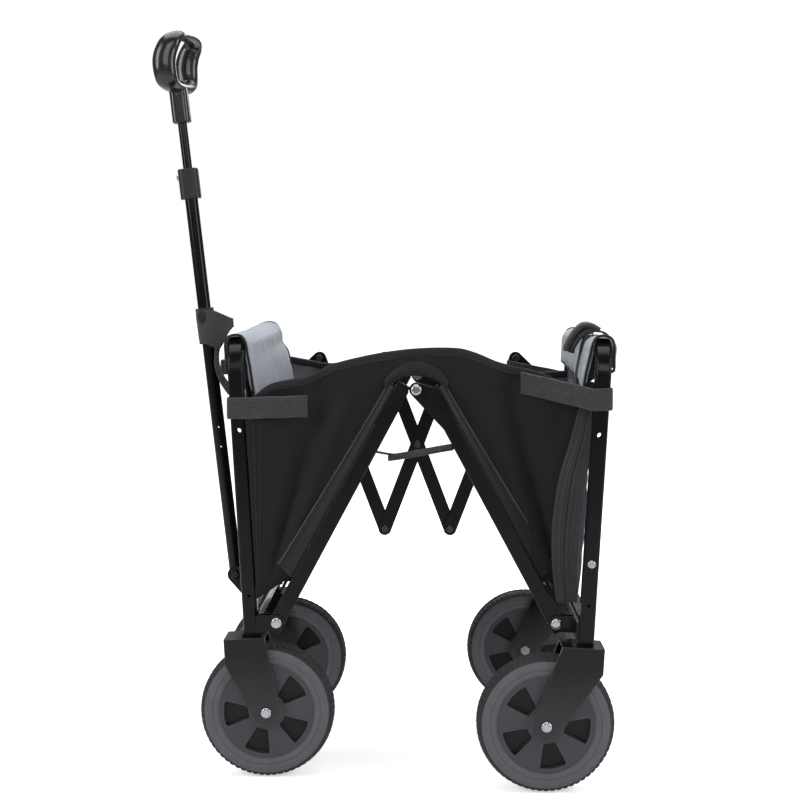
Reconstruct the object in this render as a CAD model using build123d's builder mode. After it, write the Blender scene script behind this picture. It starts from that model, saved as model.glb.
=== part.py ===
from build123d import *

import os
from math import asin, atan2, cos, radians, sin

# Folding camp wagon, standing half folded. X runs from the handle end to the rear and Z is up. Both
# end frames lean outward by the same angle and keep that lean while the arms between them fold.
# The parts are worked out from the middle between the end frames, and each is then moved so that
# the origin is on the ground, at the middle of the whole length from grip to rear wheels.
MIDDLE_X = -48.1

# Wheels
WHEEL_R = 89.0
TYRE_W = 44.0
TYRE_SHOULDER_R = 9.0
RIM_R = 63.0
RIM_W = 38.0
HUB_R = 20.0
HUB_W = 48.6
SECTORS = 5
SECTOR_IN_R = 24.0
SECTOR_OUT_R = 57.0
SECTOR_DEPTH = 8.0
SECTOR_CORNER = 3.0
REAR_SECTOR_TURN = 46.0
FRONT_SECTOR_TURN = 22.0

# End frames: square posts joined over the top in one bent hoop
LEAN = radians(3.2)
POST = 20.0
POST_WALL = 1.5
POST_CORNER = 4.0
FOOT_X = 218.0
HOOP_H = 382.0
HOOP_BEND_R = 35.0
REAR_HALF = 225.0
FRONT_HALF = 160.0
CROSSBAR_UP = 18.0

# Wheel forks, measured in the end frame from the foot of the post
FOOT_Z = 190.0
REAR_AXLE_IN = 45.8
FRONT_AXLE_IN = 15.3
FORK_T = 3.5
FORK_INSIDE = 49.0
FORK_TOP_LENGTH = 54.0
REAR_FORK_OUT = -5.0
FRONT_FORK_OUT = 8.0
FORK_SHOULDER_DROP = 34.0
FORK_END_R = 19.0
CASTER_GAP = 2.3
SOCKET_H = 18.0
SOCKET_FLANGE_R = 13.0
KINGPIN_R = 5.0
KINGPIN_HEAD_R = 7.8
KINGPIN_HEAD_H = 3.5
KINGPIN_NUT_H = 5.0
FORK_CORNER = 2.0
SOCKET_CORNER = 2.4

# Arms that cross from frame to frame and hinge in the middle
PIVOT_IN = 36.5
PIVOT_UP = 18.0
ARM_Y = 186.0
ARM_WIDE = 20.0
ARM_T = 12.0
ARM_WALL = 1.5
ARM_LENGTH = 355.0
ARM_OFFSET = 17.0
ARM_TUBE_END = 348.0
ARM_FOOT = -12.0
ARM_CORNER = 2.0
EAR_R = 9.0
PLATE_T = 2.5
PLATE_GAP = 0.1
HINGE_GAP = 0.05
PLATE_LONG = 56.0
PLATE_BACK = 32.0
PLATE_CORNER = 4.0
PLATE_TRIM = 1.0
PLUG_LONG = 48.0
PLUG_BACK = 20.0
NECK_LONG = 4.0
BRACKET_WEB_T = 4.0
BRACKET_HALF_H = 10.5
BRACKET_LAP = 2.0

# Scissor lattice outside the far wall
LATTICE_UP = 270.0
LINK_LENGTH = 115.0
LINK_TILT = radians(46.0)
BAR_LENGTH = 281.0
BAR_WIDE = 20.0
BAR_T = 6.5
BAR_WALL = 1.2
INNER_BAR_Y = 202.75
OUTER_BAR_Y = 209.75
LINK_SLOT = 15.0
LINK_SLOT_SLACK = 0.4

# Pull handle
HANDLE_OUT = 36.0
HANDLE_UP = 54.0
HANDLE_LEAN = radians(6.4)
HANDLE_R = 9.0
HANDLE_WALL = 1.5
UPPER_R = 6.35
COLLAR_AT = 554.0
COLLAR_H = 42.0
COLLAR_R = 14.0
NECK_AT = 661.0
NECK_H = 44.0
NECK_R = 12.5
UPPER_INSIDE = 300.0
GRIP_LOW = 694.0
GRIP_HIGH = 762.0
GRIP_HALF_LOW = 26.0
GRIP_HALF_HIGH = 46.0
GRIP_R = 10.5
BUTTON_R = 4.0
BUTTON_UP = 10.0
BUTTON_STANDS = 3.0
BUTTON_CLEAR = 2.6
BUTTON_FILLET = 1.2
POLE_BELOW = 10.0
POLE_HOLES = (182.0, 210.0)
CHEEK_T = 3.0
CHEEK_LAP = 4.0
CHEEK_END_R = 11.0
CHEEK_GAP = 0.2
UPPER_WALL = 1.2
COLLAR_FLAT = 4.0
COLLAR_CORNER = 8.0
NECK_FLAT = 2.0
NECK_CORNER = 7.0
MOULD_FILLET = 2.0
GRIP_BEND_R = 12.0

# Fasteners
BOLT_R = 4.0
BOLT_HEAD_R = 7.5
BOLT_HEAD_H = 4.0
NUT_H = 3.9
RIVET_R = 3.0
RIVET_HEAD_R = 6.0
FIT = 0.05
PLUG_FIT = 0.1
RIVET_DOME_H = 1.5
RIVET_FLAT_H = 1.8
SPACER_GAP = 0.3
PIN_TIP = 5.0
POST_HOLE_R = 3.5
POST_BOLT_UP = 105.0
POST_BOLT_HEAD_R = 5.5
POST_BOLT_HEAD_H = 2.8
POST_BOLT_NUT_H = 2.5
SMALL_HOLE_UP = 51.0
SMALL_HOLE_R = 2.0

# Fabric
CLOTH_T = 1.5
CLOTH_Y = 172.25
PAD_T = 6.0
PAD_DROP = 45.0
PAD_BEND_R = 9.0
PAD_SLACK = 1.0
END_WALL_LOW = 45.0
END_WALL_GAP = 3.0
END_WALL_INSET = 20.0
END_WALL_IN = 6.0
WALL_CLEAR = 5.0
WALL_LOW = 52.0
WALL_HIGH = 335.0
PEAK_LOW_UP = 22.0
PEAK_UP = 56.0
SHOULDER_UP = 48.0
SHOULDER_X = 60.0
FLOOR_FIRST = 35.0
FLOOR_LAST = 340.0
FLOOR_T = 3.0
FLOOR_OFF = 2.5

NEAR = -1
FAR = 1
REAR = 1
FRONT = -1
HALF_WIDTH = {REAR: REAR_HALF, FRONT: FRONT_HALF}

# Places worked out from the driving dimensions
AXLE_IN = {REAR: REAR_AXLE_IN, FRONT: FRONT_AXLE_IN}
FORK_OUT = {REAR: REAR_FORK_OUT, FRONT: FRONT_FORK_OUT}
AXLE_DROP = {
    end: (FOOT_Z - WHEEL_R + inward * sin(LEAN)) / cos(LEAN)
    for end, inward in AXLE_IN.items()
}
WHEEL_X = {
    end: FOOT_X - inward * cos(LEAN) - AXLE_DROP[end] * sin(LEAN)
    for end, inward in AXLE_IN.items()
}
PIVOT_X = FOOT_X - PIVOT_IN * cos(LEAN) + PIVOT_UP * sin(LEAN)
PIVOT_Z = FOOT_Z + PIVOT_IN * sin(LEAN) + PIVOT_UP * cos(LEAN)
PIVOT_LINE = (ARM_LENGTH**2 + ARM_OFFSET**2) ** 0.5
ARM_ANGLE = asin(PIVOT_X / PIVOT_LINE)
TUBE_ANGLE = ARM_ANGLE - atan2(ARM_OFFSET, ARM_LENGTH)
APEX_Z = PIVOT_Z + PIVOT_LINE * cos(ARM_ANGLE)
LATTICE_X = FOOT_X + LATTICE_UP * sin(LEAN)
LATTICE_Z = FOOT_Z + LATTICE_UP * cos(LEAN)
BAR_TOP_Z = LATTICE_Z + LINK_LENGTH * cos(LINK_TILT)
BAR_STEP = (LATTICE_X - LINK_LENGTH * sin(LINK_TILT)) / 1.5
BAR_TILT = asin(BAR_STEP / BAR_LENGTH)
BAR_LOW_Z = BAR_TOP_Z - BAR_LENGTH * cos(BAR_TILT)
HANDLE_X = -(FOOT_X + HANDLE_OUT * cos(LEAN) + HANDLE_UP * sin(LEAN))
HANDLE_Z = FOOT_Z - HANDLE_OUT * sin(LEAN) + HANDLE_UP * cos(LEAN)
HANDLE_AXIS = Vector(-sin(HANDLE_LEAN), 0, cos(HANDLE_LEAN))

os.makedirs("parts", exist_ok=True)


def save(part, name):
    """Labels a finished sub-part and writes it."""
    part.label = name
    placed = part.moved(Location((-MIDDLE_X, 0, 0)))
    placed.label = name
    export_step(placed, f"parts/{name}.step")


# ------------------------------------------------------------------ planes


def frame_plane(end, up=0.0):
    """Across the posts of an end frame, up along them: x is outward, z runs up the post."""
    outward = Vector(end * cos(LEAN), 0, -sin(LEAN))
    upward = Vector(end * sin(LEAN), 0, cos(LEAN))
    foot = Vector(end * FOOT_X, 0, FOOT_Z)
    return Plane(origin=foot + upward * up, x_dir=outward, z_dir=upward)


def side_plane(end, y=0.0):
    """Side view of an end frame at a place across the wagon: x is outward, y runs up the post."""
    frame = frame_plane(end)
    return Plane(origin=frame.origin + Vector(0, y, 0), x_dir=frame.x_dir, z_dir=(0, -end, 0))


def face_plane(end, out=0.0):
    """End view of an end frame: x runs across the wagon, y runs up the post."""
    frame = frame_plane(end)
    return Plane(origin=frame.origin + frame.x_dir * out, x_dir=frame.y_dir, z_dir=frame.x_dir)


def arm_plane(end, y):
    """Side view of an arm: the origin is its lower pivot, x runs up the tube, y is its inner side."""
    along = Vector(-end * sin(TUBE_ANGLE), 0, cos(TUBE_ANGLE))
    return Plane(origin=(end * PIVOT_X, y, PIVOT_Z), x_dir=along, z_dir=(0, -end, 0))


def handle_plane(along=0.0):
    """Square to the handle's pole, that far up from its pivot: x is toward the wagon."""
    start = Vector(HANDLE_X, 0, HANDLE_Z) + HANDLE_AXIS * along
    return Plane(origin=start, x_dir=(cos(HANDLE_LEAN), 0, sin(HANDLE_LEAN)), z_dir=HANDLE_AXIS)


def world_side(y):
    """Side view of the whole wagon: x is X and y is Z."""
    return Plane(origin=(0, y, 0), x_dir=(1, 0, 0), z_dir=(0, -1, 0))


def frame_point(end, out, y, up):
    """A point given in an end frame: outward, across the wagon, and up the post."""
    frame = frame_plane(end, up)
    return frame.origin + frame.x_dir * out + Vector(0, y, 0)


# --------------------------------------------------------------- fasteners


def bolt(seat, out, grip, shank_r=BOLT_R, head_r=BOLT_HEAD_R, head_h=BOLT_HEAD_H, nut_h=NUT_H):
    """A domed bolt: the head stands on seat and faces out, a six-sided nut closes its far end."""
    top = Plane(origin=seat, z_dir=out)
    with BuildPart() as made:
        with BuildSketch(top):
            Circle(head_r)
        extrude(amount=head_h)
        crown = made.faces().sort_by(Axis(seat, out))[-1]
        fillet(crown.edges(), head_h * 0.85)
        with BuildSketch(top):
            Circle(shank_r)
        extrude(amount=-grip)
        with BuildSketch(top.offset(-grip)):
            RegularPolygon(head_r, 6)
        extrude(amount=-nut_h)
    return made.part


def rivet(x, z):
    """A flat-headed rivet through both layers of the lattice."""
    inner_face = INNER_BAR_Y - BAR_T / 2
    outer_face = OUTER_BAR_Y + BAR_T / 2
    with BuildPart() as made:
        with BuildSketch(Plane(origin=(x, inner_face, z), z_dir=(0, -1, 0))):
            Circle(RIVET_HEAD_R)
        extrude(amount=RIVET_DOME_H)
        fillet(made.edges().sort_by(Axis.Y)[0], RIVET_DOME_H * 0.85)
        with BuildSketch(Plane(origin=(x, inner_face, z), z_dir=(0, 1, 0))):
            Circle(RIVET_R)
        extrude(amount=outer_face - inner_face)
        with BuildSketch(Plane(origin=(x, outer_face, z), z_dir=(0, 1, 0))):
            Circle(RIVET_HEAD_R)
        extrude(amount=RIVET_FLAT_H)
    return made.part


# --------------------------------------------------------------- end frames


def hoop(end):
    """Two posts and the top bar, bent from one square tube, with the holes in its posts."""
    half = HALF_WIDTH[end]
    start = frame_plane(end)
    start = Plane(origin=start.origin + Vector(0, -end * half, 0), x_dir=start.x_dir, z_dir=start.z_dir)
    with BuildPart() as made:
        with BuildLine(face_plane(end)) as path:
            FilletPolyline((-half, 0), (-half, HOOP_H), (half, HOOP_H), (half, 0), radius=HOOP_BEND_R)
        with BuildSketch(start):
            RectangleRounded(POST, POST, POST_CORNER)
            inside = POST - 2 * POST_WALL
            RectangleRounded(inside, inside, POST_CORNER - POST_WALL, mode=Mode.SUBTRACT)
        sweep(path=path.line)
        with BuildSketch(side_plane(end)):
            with Locations((0, LATTICE_UP)):
                Circle(POST_HOLE_R)
            with Locations((0, SMALL_HOLE_UP)):
                Circle(SMALL_HOLE_R)
            if end == REAR:
                with Locations((0, POST_BOLT_UP)):
                    Circle(RIVET_R + FIT)
        extrude(amount=half + POST, both=True, mode=Mode.SUBTRACT)
        if end == FRONT:
            with BuildSketch(side_plane(end, half + POST / 2)):
                with Locations((0, LATTICE_UP)):
                    SlotOverall(LINK_SLOT, 2 * (RIVET_R + LINK_SLOT_SLACK))
            extrude(amount=POST / 2, both=True, mode=Mode.SUBTRACT)
    return made.part


def crossbar(end):
    """The lower bar between the posts."""
    reach = HALF_WIDTH[end] - POST / 2
    with BuildPart() as made:
        with BuildSketch(side_plane(end)):
            with Locations((0, CROSSBAR_UP)):
                RectangleRounded(POST, POST, POST_CORNER)
                inside = POST - 2 * POST_WALL
                RectangleRounded(inside, inside, POST_CORNER - POST_WALL, mode=Mode.SUBTRACT)
        extrude(amount=reach, both=True)
    return made.part


def arm_bracket(end, side):
    """A clevis on the inward face of a post, holding the foot of an arm."""
    post_inner = HALF_WIDTH[end] - POST / 2
    plate_out = ARM_T / 2 + PLATE_GAP + PLATE_T
    low_y = min(post_inner + BRACKET_LAP, ARM_Y - plate_out)
    high_y = max(post_inner + POST - BRACKET_LAP, ARM_Y + plate_out)
    with BuildPart() as made:
        with BuildSketch(side_plane(end, side * (low_y + high_y) / 2)):
            with Locations((-(POST + BRACKET_WEB_T) / 2, PIVOT_UP)):
                Rectangle(BRACKET_WEB_T, 2 * BRACKET_HALF_H)
        extrude(amount=(high_y - low_y) / 2, both=True)
        for layer in (-1, 1):
            middle = ARM_Y + layer * (ARM_T / 2 + PLATE_GAP + PLATE_T / 2)
            with BuildSketch(side_plane(end, side * middle)):
                with Locations((-(POST / 2 + PIVOT_IN) / 2, PIVOT_UP)):
                    Rectangle(PIVOT_IN - POST / 2, 2 * BRACKET_HALF_H)
                with Locations((-PIVOT_IN, PIVOT_UP)):
                    Circle(BRACKET_HALF_H)
                    Circle(BOLT_R + FIT, mode=Mode.SUBTRACT)
            extrude(amount=PLATE_T / 2, both=True)
    return made.part


def fork(end, side, drop):
    """A pressed wheel fork: a top plate and two legs. drop is the gap under the foot of the post."""
    y = side * HALF_WIDTH[end]
    with BuildPart() as made:
        with BuildSketch(side_plane(end, y)):
            with Locations((FORK_OUT[end], -drop - FORK_T / 2)):
                Rectangle(FORK_TOP_LENGTH, FORK_T)
        extrude(amount=FORK_INSIDE / 2 + FORK_T, both=True)
        for leg in (-1, 1):
            with BuildSketch(side_plane(end, y + leg * (FORK_INSIDE + FORK_T) / 2)):
                with Locations((FORK_OUT[end], -drop - FORK_SHOULDER_DROP / 2)):
                    RectangleRounded(FORK_TOP_LENGTH, FORK_SHOULDER_DROP, FORK_CORNER)
                with Locations((-AXLE_IN[end], -AXLE_DROP[end])):
                    Circle(FORK_END_R)
                make_hull()
                with Locations((-AXLE_IN[end], -AXLE_DROP[end])):
                    Circle(BOLT_R + FIT, mode=Mode.SUBTRACT)
            extrude(amount=FORK_T / 2, both=True)
        if end == FRONT:
            with BuildSketch(frame_plane(end, -drop)):
                with Locations((0, end * y)):
                    Circle(KINGPIN_R + FIT)
            extrude(amount=2 * FORK_T, both=True, mode=Mode.SUBTRACT)
    return made.part


def axle_bolt(end, side):
    """The bolt a wheel turns on, with its head on the outer leg of the fork."""
    face = HALF_WIDTH[end] + FORK_INSIDE / 2 + FORK_T
    seat = Vector(end * WHEEL_X[end], side * face, WHEEL_R)
    return bolt(seat, (0, side, 0), FORK_INSIDE + 2 * FORK_T)


def pivot_bolt(end, side):
    """The bolt through an arm's foot and its bracket."""
    grip = ARM_T + 2 * (PLATE_GAP + PLATE_T)
    seat = Vector(end * PIVOT_X, side * (ARM_Y + grip / 2), PIVOT_Z)
    return bolt(seat, (0, side, 0), grip)


def post_bolt(side):
    """A small bolt through a rear post that anchors the hem of the end wall."""
    seat = frame_point(REAR, 0, side * (REAR_HALF + POST / 2), POST_BOLT_UP)
    head = (POST_BOLT_HEAD_R, POST_BOLT_HEAD_H, POST_BOLT_NUT_H)
    return bolt(seat, (0, side, 0), POST, RIVET_R, *head)


def turned_pin(end, steps):
    """A pin across the wagon on the lattice's hole in a far post. steps holds (from y, to y, radius)."""
    centre = frame_point(end, 0, 0, LATTICE_UP)
    with BuildPart() as made:
        for low, high, radius in steps:
            with BuildSketch(Plane(origin=(centre.X, (low + high) / 2, centre.Z), z_dir=(0, 1, 0))):
                Circle(radius)
            extrude(amount=(high - low) / 2, both=True)
    return made.part


def rear_link_bolt():
    """The bolt that carries the rear end link on the far post, with a washer between them."""
    bar_low = OUTER_BAR_Y - BAR_T / 2
    bar_high = OUTER_BAR_Y + BAR_T / 2
    post_low = REAR_HALF - POST / 2
    post_high = REAR_HALF + POST / 2
    shank = (bar_low, post_high, RIVET_R)
    washer = (bar_high, post_low, RIVET_HEAD_R)
    head = (post_high, post_high + POST_BOLT_NUT_H, RIVET_HEAD_R)
    tail = (bar_low - RIVET_FLAT_H, bar_low, RIVET_HEAD_R)
    return turned_pin(REAR, (shank, washer, head, tail))


def front_link_pin():
    """The pin of the front end link: its spacer stands off the far post, and its tip slides in the slot."""
    bar_low = INNER_BAR_Y - BAR_T / 2
    bar_high = INNER_BAR_Y + BAR_T / 2
    post_high = FRONT_HALF + POST / 2
    shank = (post_high - PIN_TIP, bar_high, RIVET_R)
    spacer = (post_high + SPACER_GAP, bar_low, RIVET_HEAD_R)
    head = (bar_high, bar_high + RIVET_FLAT_H, RIVET_HEAD_R)
    return turned_pin(FRONT, (shank, spacer, head))


for end, name in ((REAR, "rear"), (FRONT, "front")):
    save(hoop(end), f"{name}_hoop")
    save(crossbar(end), f"{name}_crossbar")
    save(Compound(children=[arm_bracket(end, side) for side in (NEAR, FAR)]), f"{name}_arm_brackets")

rear_bolts = [pivot_bolt(REAR, side) for side in (NEAR, FAR)]
rear_bolts += [post_bolt(side) for side in (NEAR, FAR)]
save(Compound(children=rear_bolts + [rear_link_bolt()]), "rear_frame_bolts")
save(Compound(children=[fork(REAR, side, 0.0) for side in (NEAR, FAR)]), "rear_forks")
save(Compound(children=[axle_bolt(REAR, side) for side in (NEAR, FAR)]), "rear_axle_bolts")


# ------------------------------------------------------------- front casters


def caster_socket(side):
    """A plug in the foot of a front post, with a flange under it, that the kingpin turns in."""
    at = (0, FRONT * side * FRONT_HALF)
    with BuildPart() as made:
        with BuildSketch(frame_plane(FRONT)):
            with Locations(at):
                plug = POST - 2 * POST_WALL - PLUG_FIT
                RectangleRounded(plug, plug, SOCKET_CORNER)
        extrude(amount=SOCKET_H)
        with BuildSketch(frame_plane(FRONT)):
            with Locations(at):
                Circle(SOCKET_FLANGE_R)
        extrude(amount=-(CASTER_GAP - SPACER_GAP))
        with BuildSketch(frame_plane(FRONT)):
            with Locations(at):
                Circle(KINGPIN_R + FIT)
        extrude(amount=2 * SOCKET_H, both=True, mode=Mode.SUBTRACT)
    return made.part


def kingpin(side):
    """The upright bolt a front fork swivels on: head under the fork, nut inside the post."""
    under_fork = -CASTER_GAP - FORK_T
    foot = frame_plane(FRONT, under_fork)
    seat = foot.origin + Vector(0, side * FRONT_HALF, 0)
    grip = SOCKET_H + SPACER_GAP - under_fork
    head = (KINGPIN_HEAD_R, KINGPIN_HEAD_H, KINGPIN_NUT_H)
    return bolt(seat, -foot.z_dir, grip, KINGPIN_R, *head)


save(Compound(children=[caster_socket(side) for side in (NEAR, FAR)]), "caster_sockets")
for side, name in ((NEAR, "near"), (FAR, "far")):
    save(fork(FRONT, side, CASTER_GAP), f"caster_fork_{name}")
    save(Compound(children=[kingpin(side), axle_bolt(FRONT, side)]), f"caster_bolts_{name}")


# ------------------------------------------------------------------- wheels


def wheel_plane(end, side):
    middle = (end * WHEEL_X[end], side * HALF_WIDTH[end], WHEEL_R)
    return Plane(origin=middle, x_dir=(1, 0, 0), z_dir=(0, -1, 0))


def rim(end, side):
    """A moulded disc wheel: raised and sunk sectors round a hub, the same on both faces."""
    centre = wheel_plane(end, side)
    span = 180.0 / SECTORS
    start = REAR_SECTOR_TURN if end == REAR else FRONT_SECTOR_TURN
    with BuildPart() as made:
        with BuildSketch(centre):
            Circle(RIM_R)
        extrude(amount=RIM_W / 2, both=True)
        for face in (-1, 1):
            with BuildSketch(centre.offset(face * (RIM_W / 2 - SECTOR_DEPTH / 2))) as pockets:
                for turn in range(SECTORS):
                    first = start + 360.0 / SECTORS * turn
                    with BuildLine():
                        low = CenterArc((0, 0), SECTOR_IN_R, first, span)
                        high = CenterArc((0, 0), SECTOR_OUT_R, first, span)
                        Line(low @ 0, high @ 0)
                        Line(low @ 1, high @ 1)
                    make_face()
                fillet(pockets.vertices(), SECTOR_CORNER)
            extrude(amount=SECTOR_DEPTH / 2, both=True, mode=Mode.SUBTRACT)
        with BuildSketch(centre):
            Circle(HUB_R)
        extrude(amount=HUB_W / 2, both=True)
        with BuildSketch(centre):
            Circle(BOLT_R + FIT)
        extrude(amount=HUB_W, both=True, mode=Mode.SUBTRACT)
    return made.part


def tyre(end, side):
    """A solid tyre on the rim, round-shouldered."""
    centre = wheel_plane(end, side)
    with BuildPart() as made:
        with BuildSketch(Plane(origin=centre.origin, x_dir=(1, 0, 0), z_dir=(0, 0, 1))) as section:
            with Locations(((RIM_R + WHEEL_R) / 2, 0)):
                Rectangle(WHEEL_R - RIM_R, TYRE_W)
            fillet(section.vertices().group_by(Axis.X)[-1], TYRE_SHOULDER_R)
        revolve(axis=Axis(centre.origin, (0, 1, 0)))
    return made.part


for end, end_name in ((REAR, "rear"), (FRONT, "front")):
    for side, name in ((NEAR, "near"), (FAR, "far")):
        save(rim(end, side), f"rim_{end_name}_{name}")
        save(tyre(end, side), f"tyre_{end_name}_{name}")


# --------------------------------------------------------------------- arms


def arm(end, side):
    """A flat tube from its lower pivot almost to the middle hinge."""
    with BuildPart() as made:
        with BuildSketch(arm_plane(end, side * ARM_Y)):
            with Locations(((ARM_FOOT + ARM_TUBE_END) / 2, 0)):
                Rectangle(ARM_TUBE_END - ARM_FOOT, ARM_WIDE)
        extrude(amount=ARM_T / 2, both=True)
        fillet(made.edges().filter_by(arm_plane(end, 0).location.x_axis), ARM_CORNER)
        with BuildSketch(arm_plane(end, side * ARM_Y)):
            with Locations((ARM_TUBE_END / 2, 0)):
                Rectangle(2 * ARM_TUBE_END, ARM_WIDE - 2 * ARM_WALL)
        extrude(amount=ARM_T / 2 - ARM_WALL, both=True, mode=Mode.SUBTRACT)
        with BuildSketch(arm_plane(end, side * ARM_Y)):
            Circle(BOLT_R + FIT)
        extrude(amount=ARM_T, both=True, mode=Mode.SUBTRACT)
    return made.part


def hinge_plates(side):
    """The pair of plates on a rear arm, with ears that hold the middle hinge bolt."""
    with BuildPart() as made:
        for layer in (-1, 1):
            y = ARM_Y + layer * (ARM_T / 2 + HINGE_GAP + PLATE_T / 2)
            with BuildSketch(arm_plane(REAR, side * y)):
                with Locations((ARM_TUBE_END - PLATE_BACK, 0)):
                    RectangleRounded(PLATE_LONG, ARM_WIDE - PLATE_TRIM, PLATE_CORNER)
                with Locations((ARM_LENGTH, ARM_OFFSET)):
                    Circle(EAR_R)
                make_hull()
                with Locations((ARM_LENGTH, ARM_OFFSET)):
                    Circle(BOLT_R + FIT, mode=Mode.SUBTRACT)
            extrude(amount=PLATE_T / 2, both=True)
    return made.part


def hinge_tongue(side):
    """The plug in the end of a front arm, its tongue between the rear plates, and its two cheek plates."""
    plug_wide = ARM_WIDE - 2 * (ARM_WALL + PLUG_FIT)
    plug_t = ARM_T - 2 * ARM_WALL - PLUG_FIT
    with BuildPart() as made:
        with BuildSketch(arm_plane(FRONT, side * ARM_Y)):
            with Locations((ARM_TUBE_END - PLUG_BACK, 0)):
                Rectangle(PLUG_LONG, plug_wide)
            with Locations((ARM_TUBE_END + NECK_LONG, (ARM_OFFSET - plug_wide / 2) / 2)):
                Rectangle(NECK_LONG, ARM_OFFSET + plug_wide / 2)
            with Locations((ARM_LENGTH, ARM_OFFSET)):
                Circle(EAR_R)
                Circle(BOLT_R + FIT, mode=Mode.SUBTRACT)
        extrude(amount=plug_t / 2, both=True)
        for layer in (-1, 1):
            y = ARM_Y + layer * (ARM_T / 2 + HINGE_GAP + PLATE_T / 2)
            with BuildSketch(arm_plane(FRONT, side * y)):
                with Locations((ARM_TUBE_END - PLATE_BACK, 0)):
                    RectangleRounded(PLATE_LONG, ARM_WIDE - PLATE_TRIM, PLATE_CORNER)
            extrude(amount=PLATE_T / 2, both=True)
    return made.part


def apex_bolt(side):
    """The middle hinge bolt, carried by the rear arm's plates."""
    grip = ARM_T + 2 * (HINGE_GAP + PLATE_T)
    return bolt(Vector(0, side * (ARM_Y + grip / 2), APEX_Z), (0, side, 0), grip)


for side, name in ((NEAR, "near"), (FAR, "far")):
    save(arm(REAR, side), f"rear_arm_{name}")
    save(arm(FRONT, side), f"front_arm_{name}")
    save(hinge_plates(side), f"hinge_plates_{name}")
    save(hinge_tongue(side), f"hinge_tongue_{name}")
    save(apex_bolt(side), f"apex_bolt_{name}")


# ------------------------------------------------------------------ lattice


def top_x(place):
    """X of the lattice's top joints, 1 at the front to 4 at the rear. The low joints stand under them."""
    return (place - 2.5) * BAR_STEP


def lattice_bar(low, high, y, holes):
    """A flattened tube between two points of the side view, drilled at the given shares of its length."""
    run_x = high[0] - low[0]
    run_z = high[1] - low[1]
    length = (run_x**2 + run_z**2) ** 0.5
    middle = ((low[0] + high[0]) / 2, y, (low[1] + high[1]) / 2)
    along = Plane(origin=middle, x_dir=(run_x, 0, run_z), z_dir=(0, -1, 0))
    with BuildPart() as made:
        with BuildSketch(along):
            SlotOverall(length + BAR_WIDE, BAR_WIDE)
        extrude(amount=BAR_T / 2, both=True)
        with BuildSketch(along):
            Rectangle(length + 2 * BAR_WIDE, BAR_WIDE - 2 * BAR_WALL)
        extrude(amount=BAR_T / 2 - BAR_WALL, both=True, mode=Mode.SUBTRACT)
        with BuildSketch(along):
            with Locations([((share - 0.5) * length, 0) for share in holes]):
                Circle(RIVET_R + FIT)
        extrude(amount=BAR_T, both=True, mode=Mode.SUBTRACT)
    return made.part


for place in (1, 2, 3):
    low_front = (top_x(place), BAR_LOW_Z)
    top_rear = (top_x(place + 1), BAR_TOP_Z)
    top_front = (top_x(place), BAR_TOP_Z)
    low_rear = (top_x(place + 1), BAR_LOW_Z)
    inner_holes = (0.5, 1) if place == 1 else (0, 0.5, 1)
    outer_holes = (0.5, 1) if place == 3 else (0, 0.5, 1)
    save(lattice_bar(low_front, top_rear, INNER_BAR_Y, inner_holes), f"lattice_inner_bar_{place}")
    save(lattice_bar(low_rear, top_front, OUTER_BAR_Y, outer_holes), f"lattice_outer_bar_{place}")

rear_link_foot = (LATTICE_X, LATTICE_Z)
front_link_foot = (-LATTICE_X, LATTICE_Z)
save(lattice_bar(rear_link_foot, (top_x(4), BAR_TOP_Z), OUTER_BAR_Y, (0, 1)), "lattice_link_rear")


front_link = lattice_bar(front_link_foot, (top_x(1), BAR_TOP_Z), INNER_BAR_Y, (0, 1))
save(Compound(children=[front_link, front_link_pin()]), "lattice_link_front")

middle_z = (BAR_TOP_Z + BAR_LOW_Z) / 2
RIVETS = {
    "lattice_rivets_rear": [(top_x(4), BAR_TOP_Z), (BAR_STEP, middle_z), (top_x(3), BAR_LOW_Z)],
    "lattice_rivets_middle": [(0, middle_z), (top_x(2), BAR_TOP_Z)],
    "lattice_rivets_inner": [(top_x(3), BAR_TOP_Z), (top_x(2), BAR_LOW_Z)],
    "lattice_rivets_front": [(top_x(1), BAR_TOP_Z), (-BAR_STEP, middle_z)],
}
for name, places in RIVETS.items():
    save(Compound(children=[rivet(x, z) for x, z in places]), name)


# ------------------------------------------------------------------- handle


def handle_bracket():
    """A channel on the outer face of the front crossbar, holding the foot of the pole."""
    low = CROSSBAR_UP - POST / 2
    high = HANDLE_UP + CHEEK_END_R
    with BuildPart() as made:
        with BuildSketch(side_plane(FRONT)):
            with Locations(((POST + CHEEK_T) / 2, (low + high) / 2)):
                Rectangle(CHEEK_T, high - low)
        extrude(amount=HANDLE_R + CHEEK_T + CHEEK_GAP, both=True)
        for cheek in (-1, 1):
            with BuildSketch(side_plane(FRONT, cheek * (HANDLE_R + CHEEK_GAP + CHEEK_T / 2))):
                with Locations(((POST + CHEEK_LAP) / 2, (low + high) / 2)):
                    Rectangle(CHEEK_LAP, high - low)
                with Locations((HANDLE_OUT, HANDLE_UP)):
                    Circle(CHEEK_END_R)
                make_hull()
                with Locations((HANDLE_OUT, HANDLE_UP)):
                    Circle(BOLT_R + FIT, mode=Mode.SUBTRACT)
            extrude(amount=CHEEK_T / 2, both=True)
    return made.part


def handle_lower_tube():
    """The outer pole, drilled across for its pivot bolt and with two small lock holes."""
    with BuildPart() as made:
        with BuildSketch(handle_plane(-POLE_BELOW)):
            Circle(HANDLE_R)
            Circle(HANDLE_R - HANDLE_WALL, mode=Mode.SUBTRACT)
        extrude(amount=COLLAR_AT + POLE_BELOW)
        with BuildSketch(Plane(origin=(HANDLE_X, 0, HANDLE_Z), x_dir=HANDLE_AXIS, z_dir=(0, -1, 0))):
            Circle(BOLT_R + FIT)
            with Locations([(along, 0) for along in POLE_HOLES]):
                Circle(SMALL_HOLE_R)
        extrude(amount=2 * HANDLE_R, both=True, mode=Mode.SUBTRACT)
    return made.part


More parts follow.
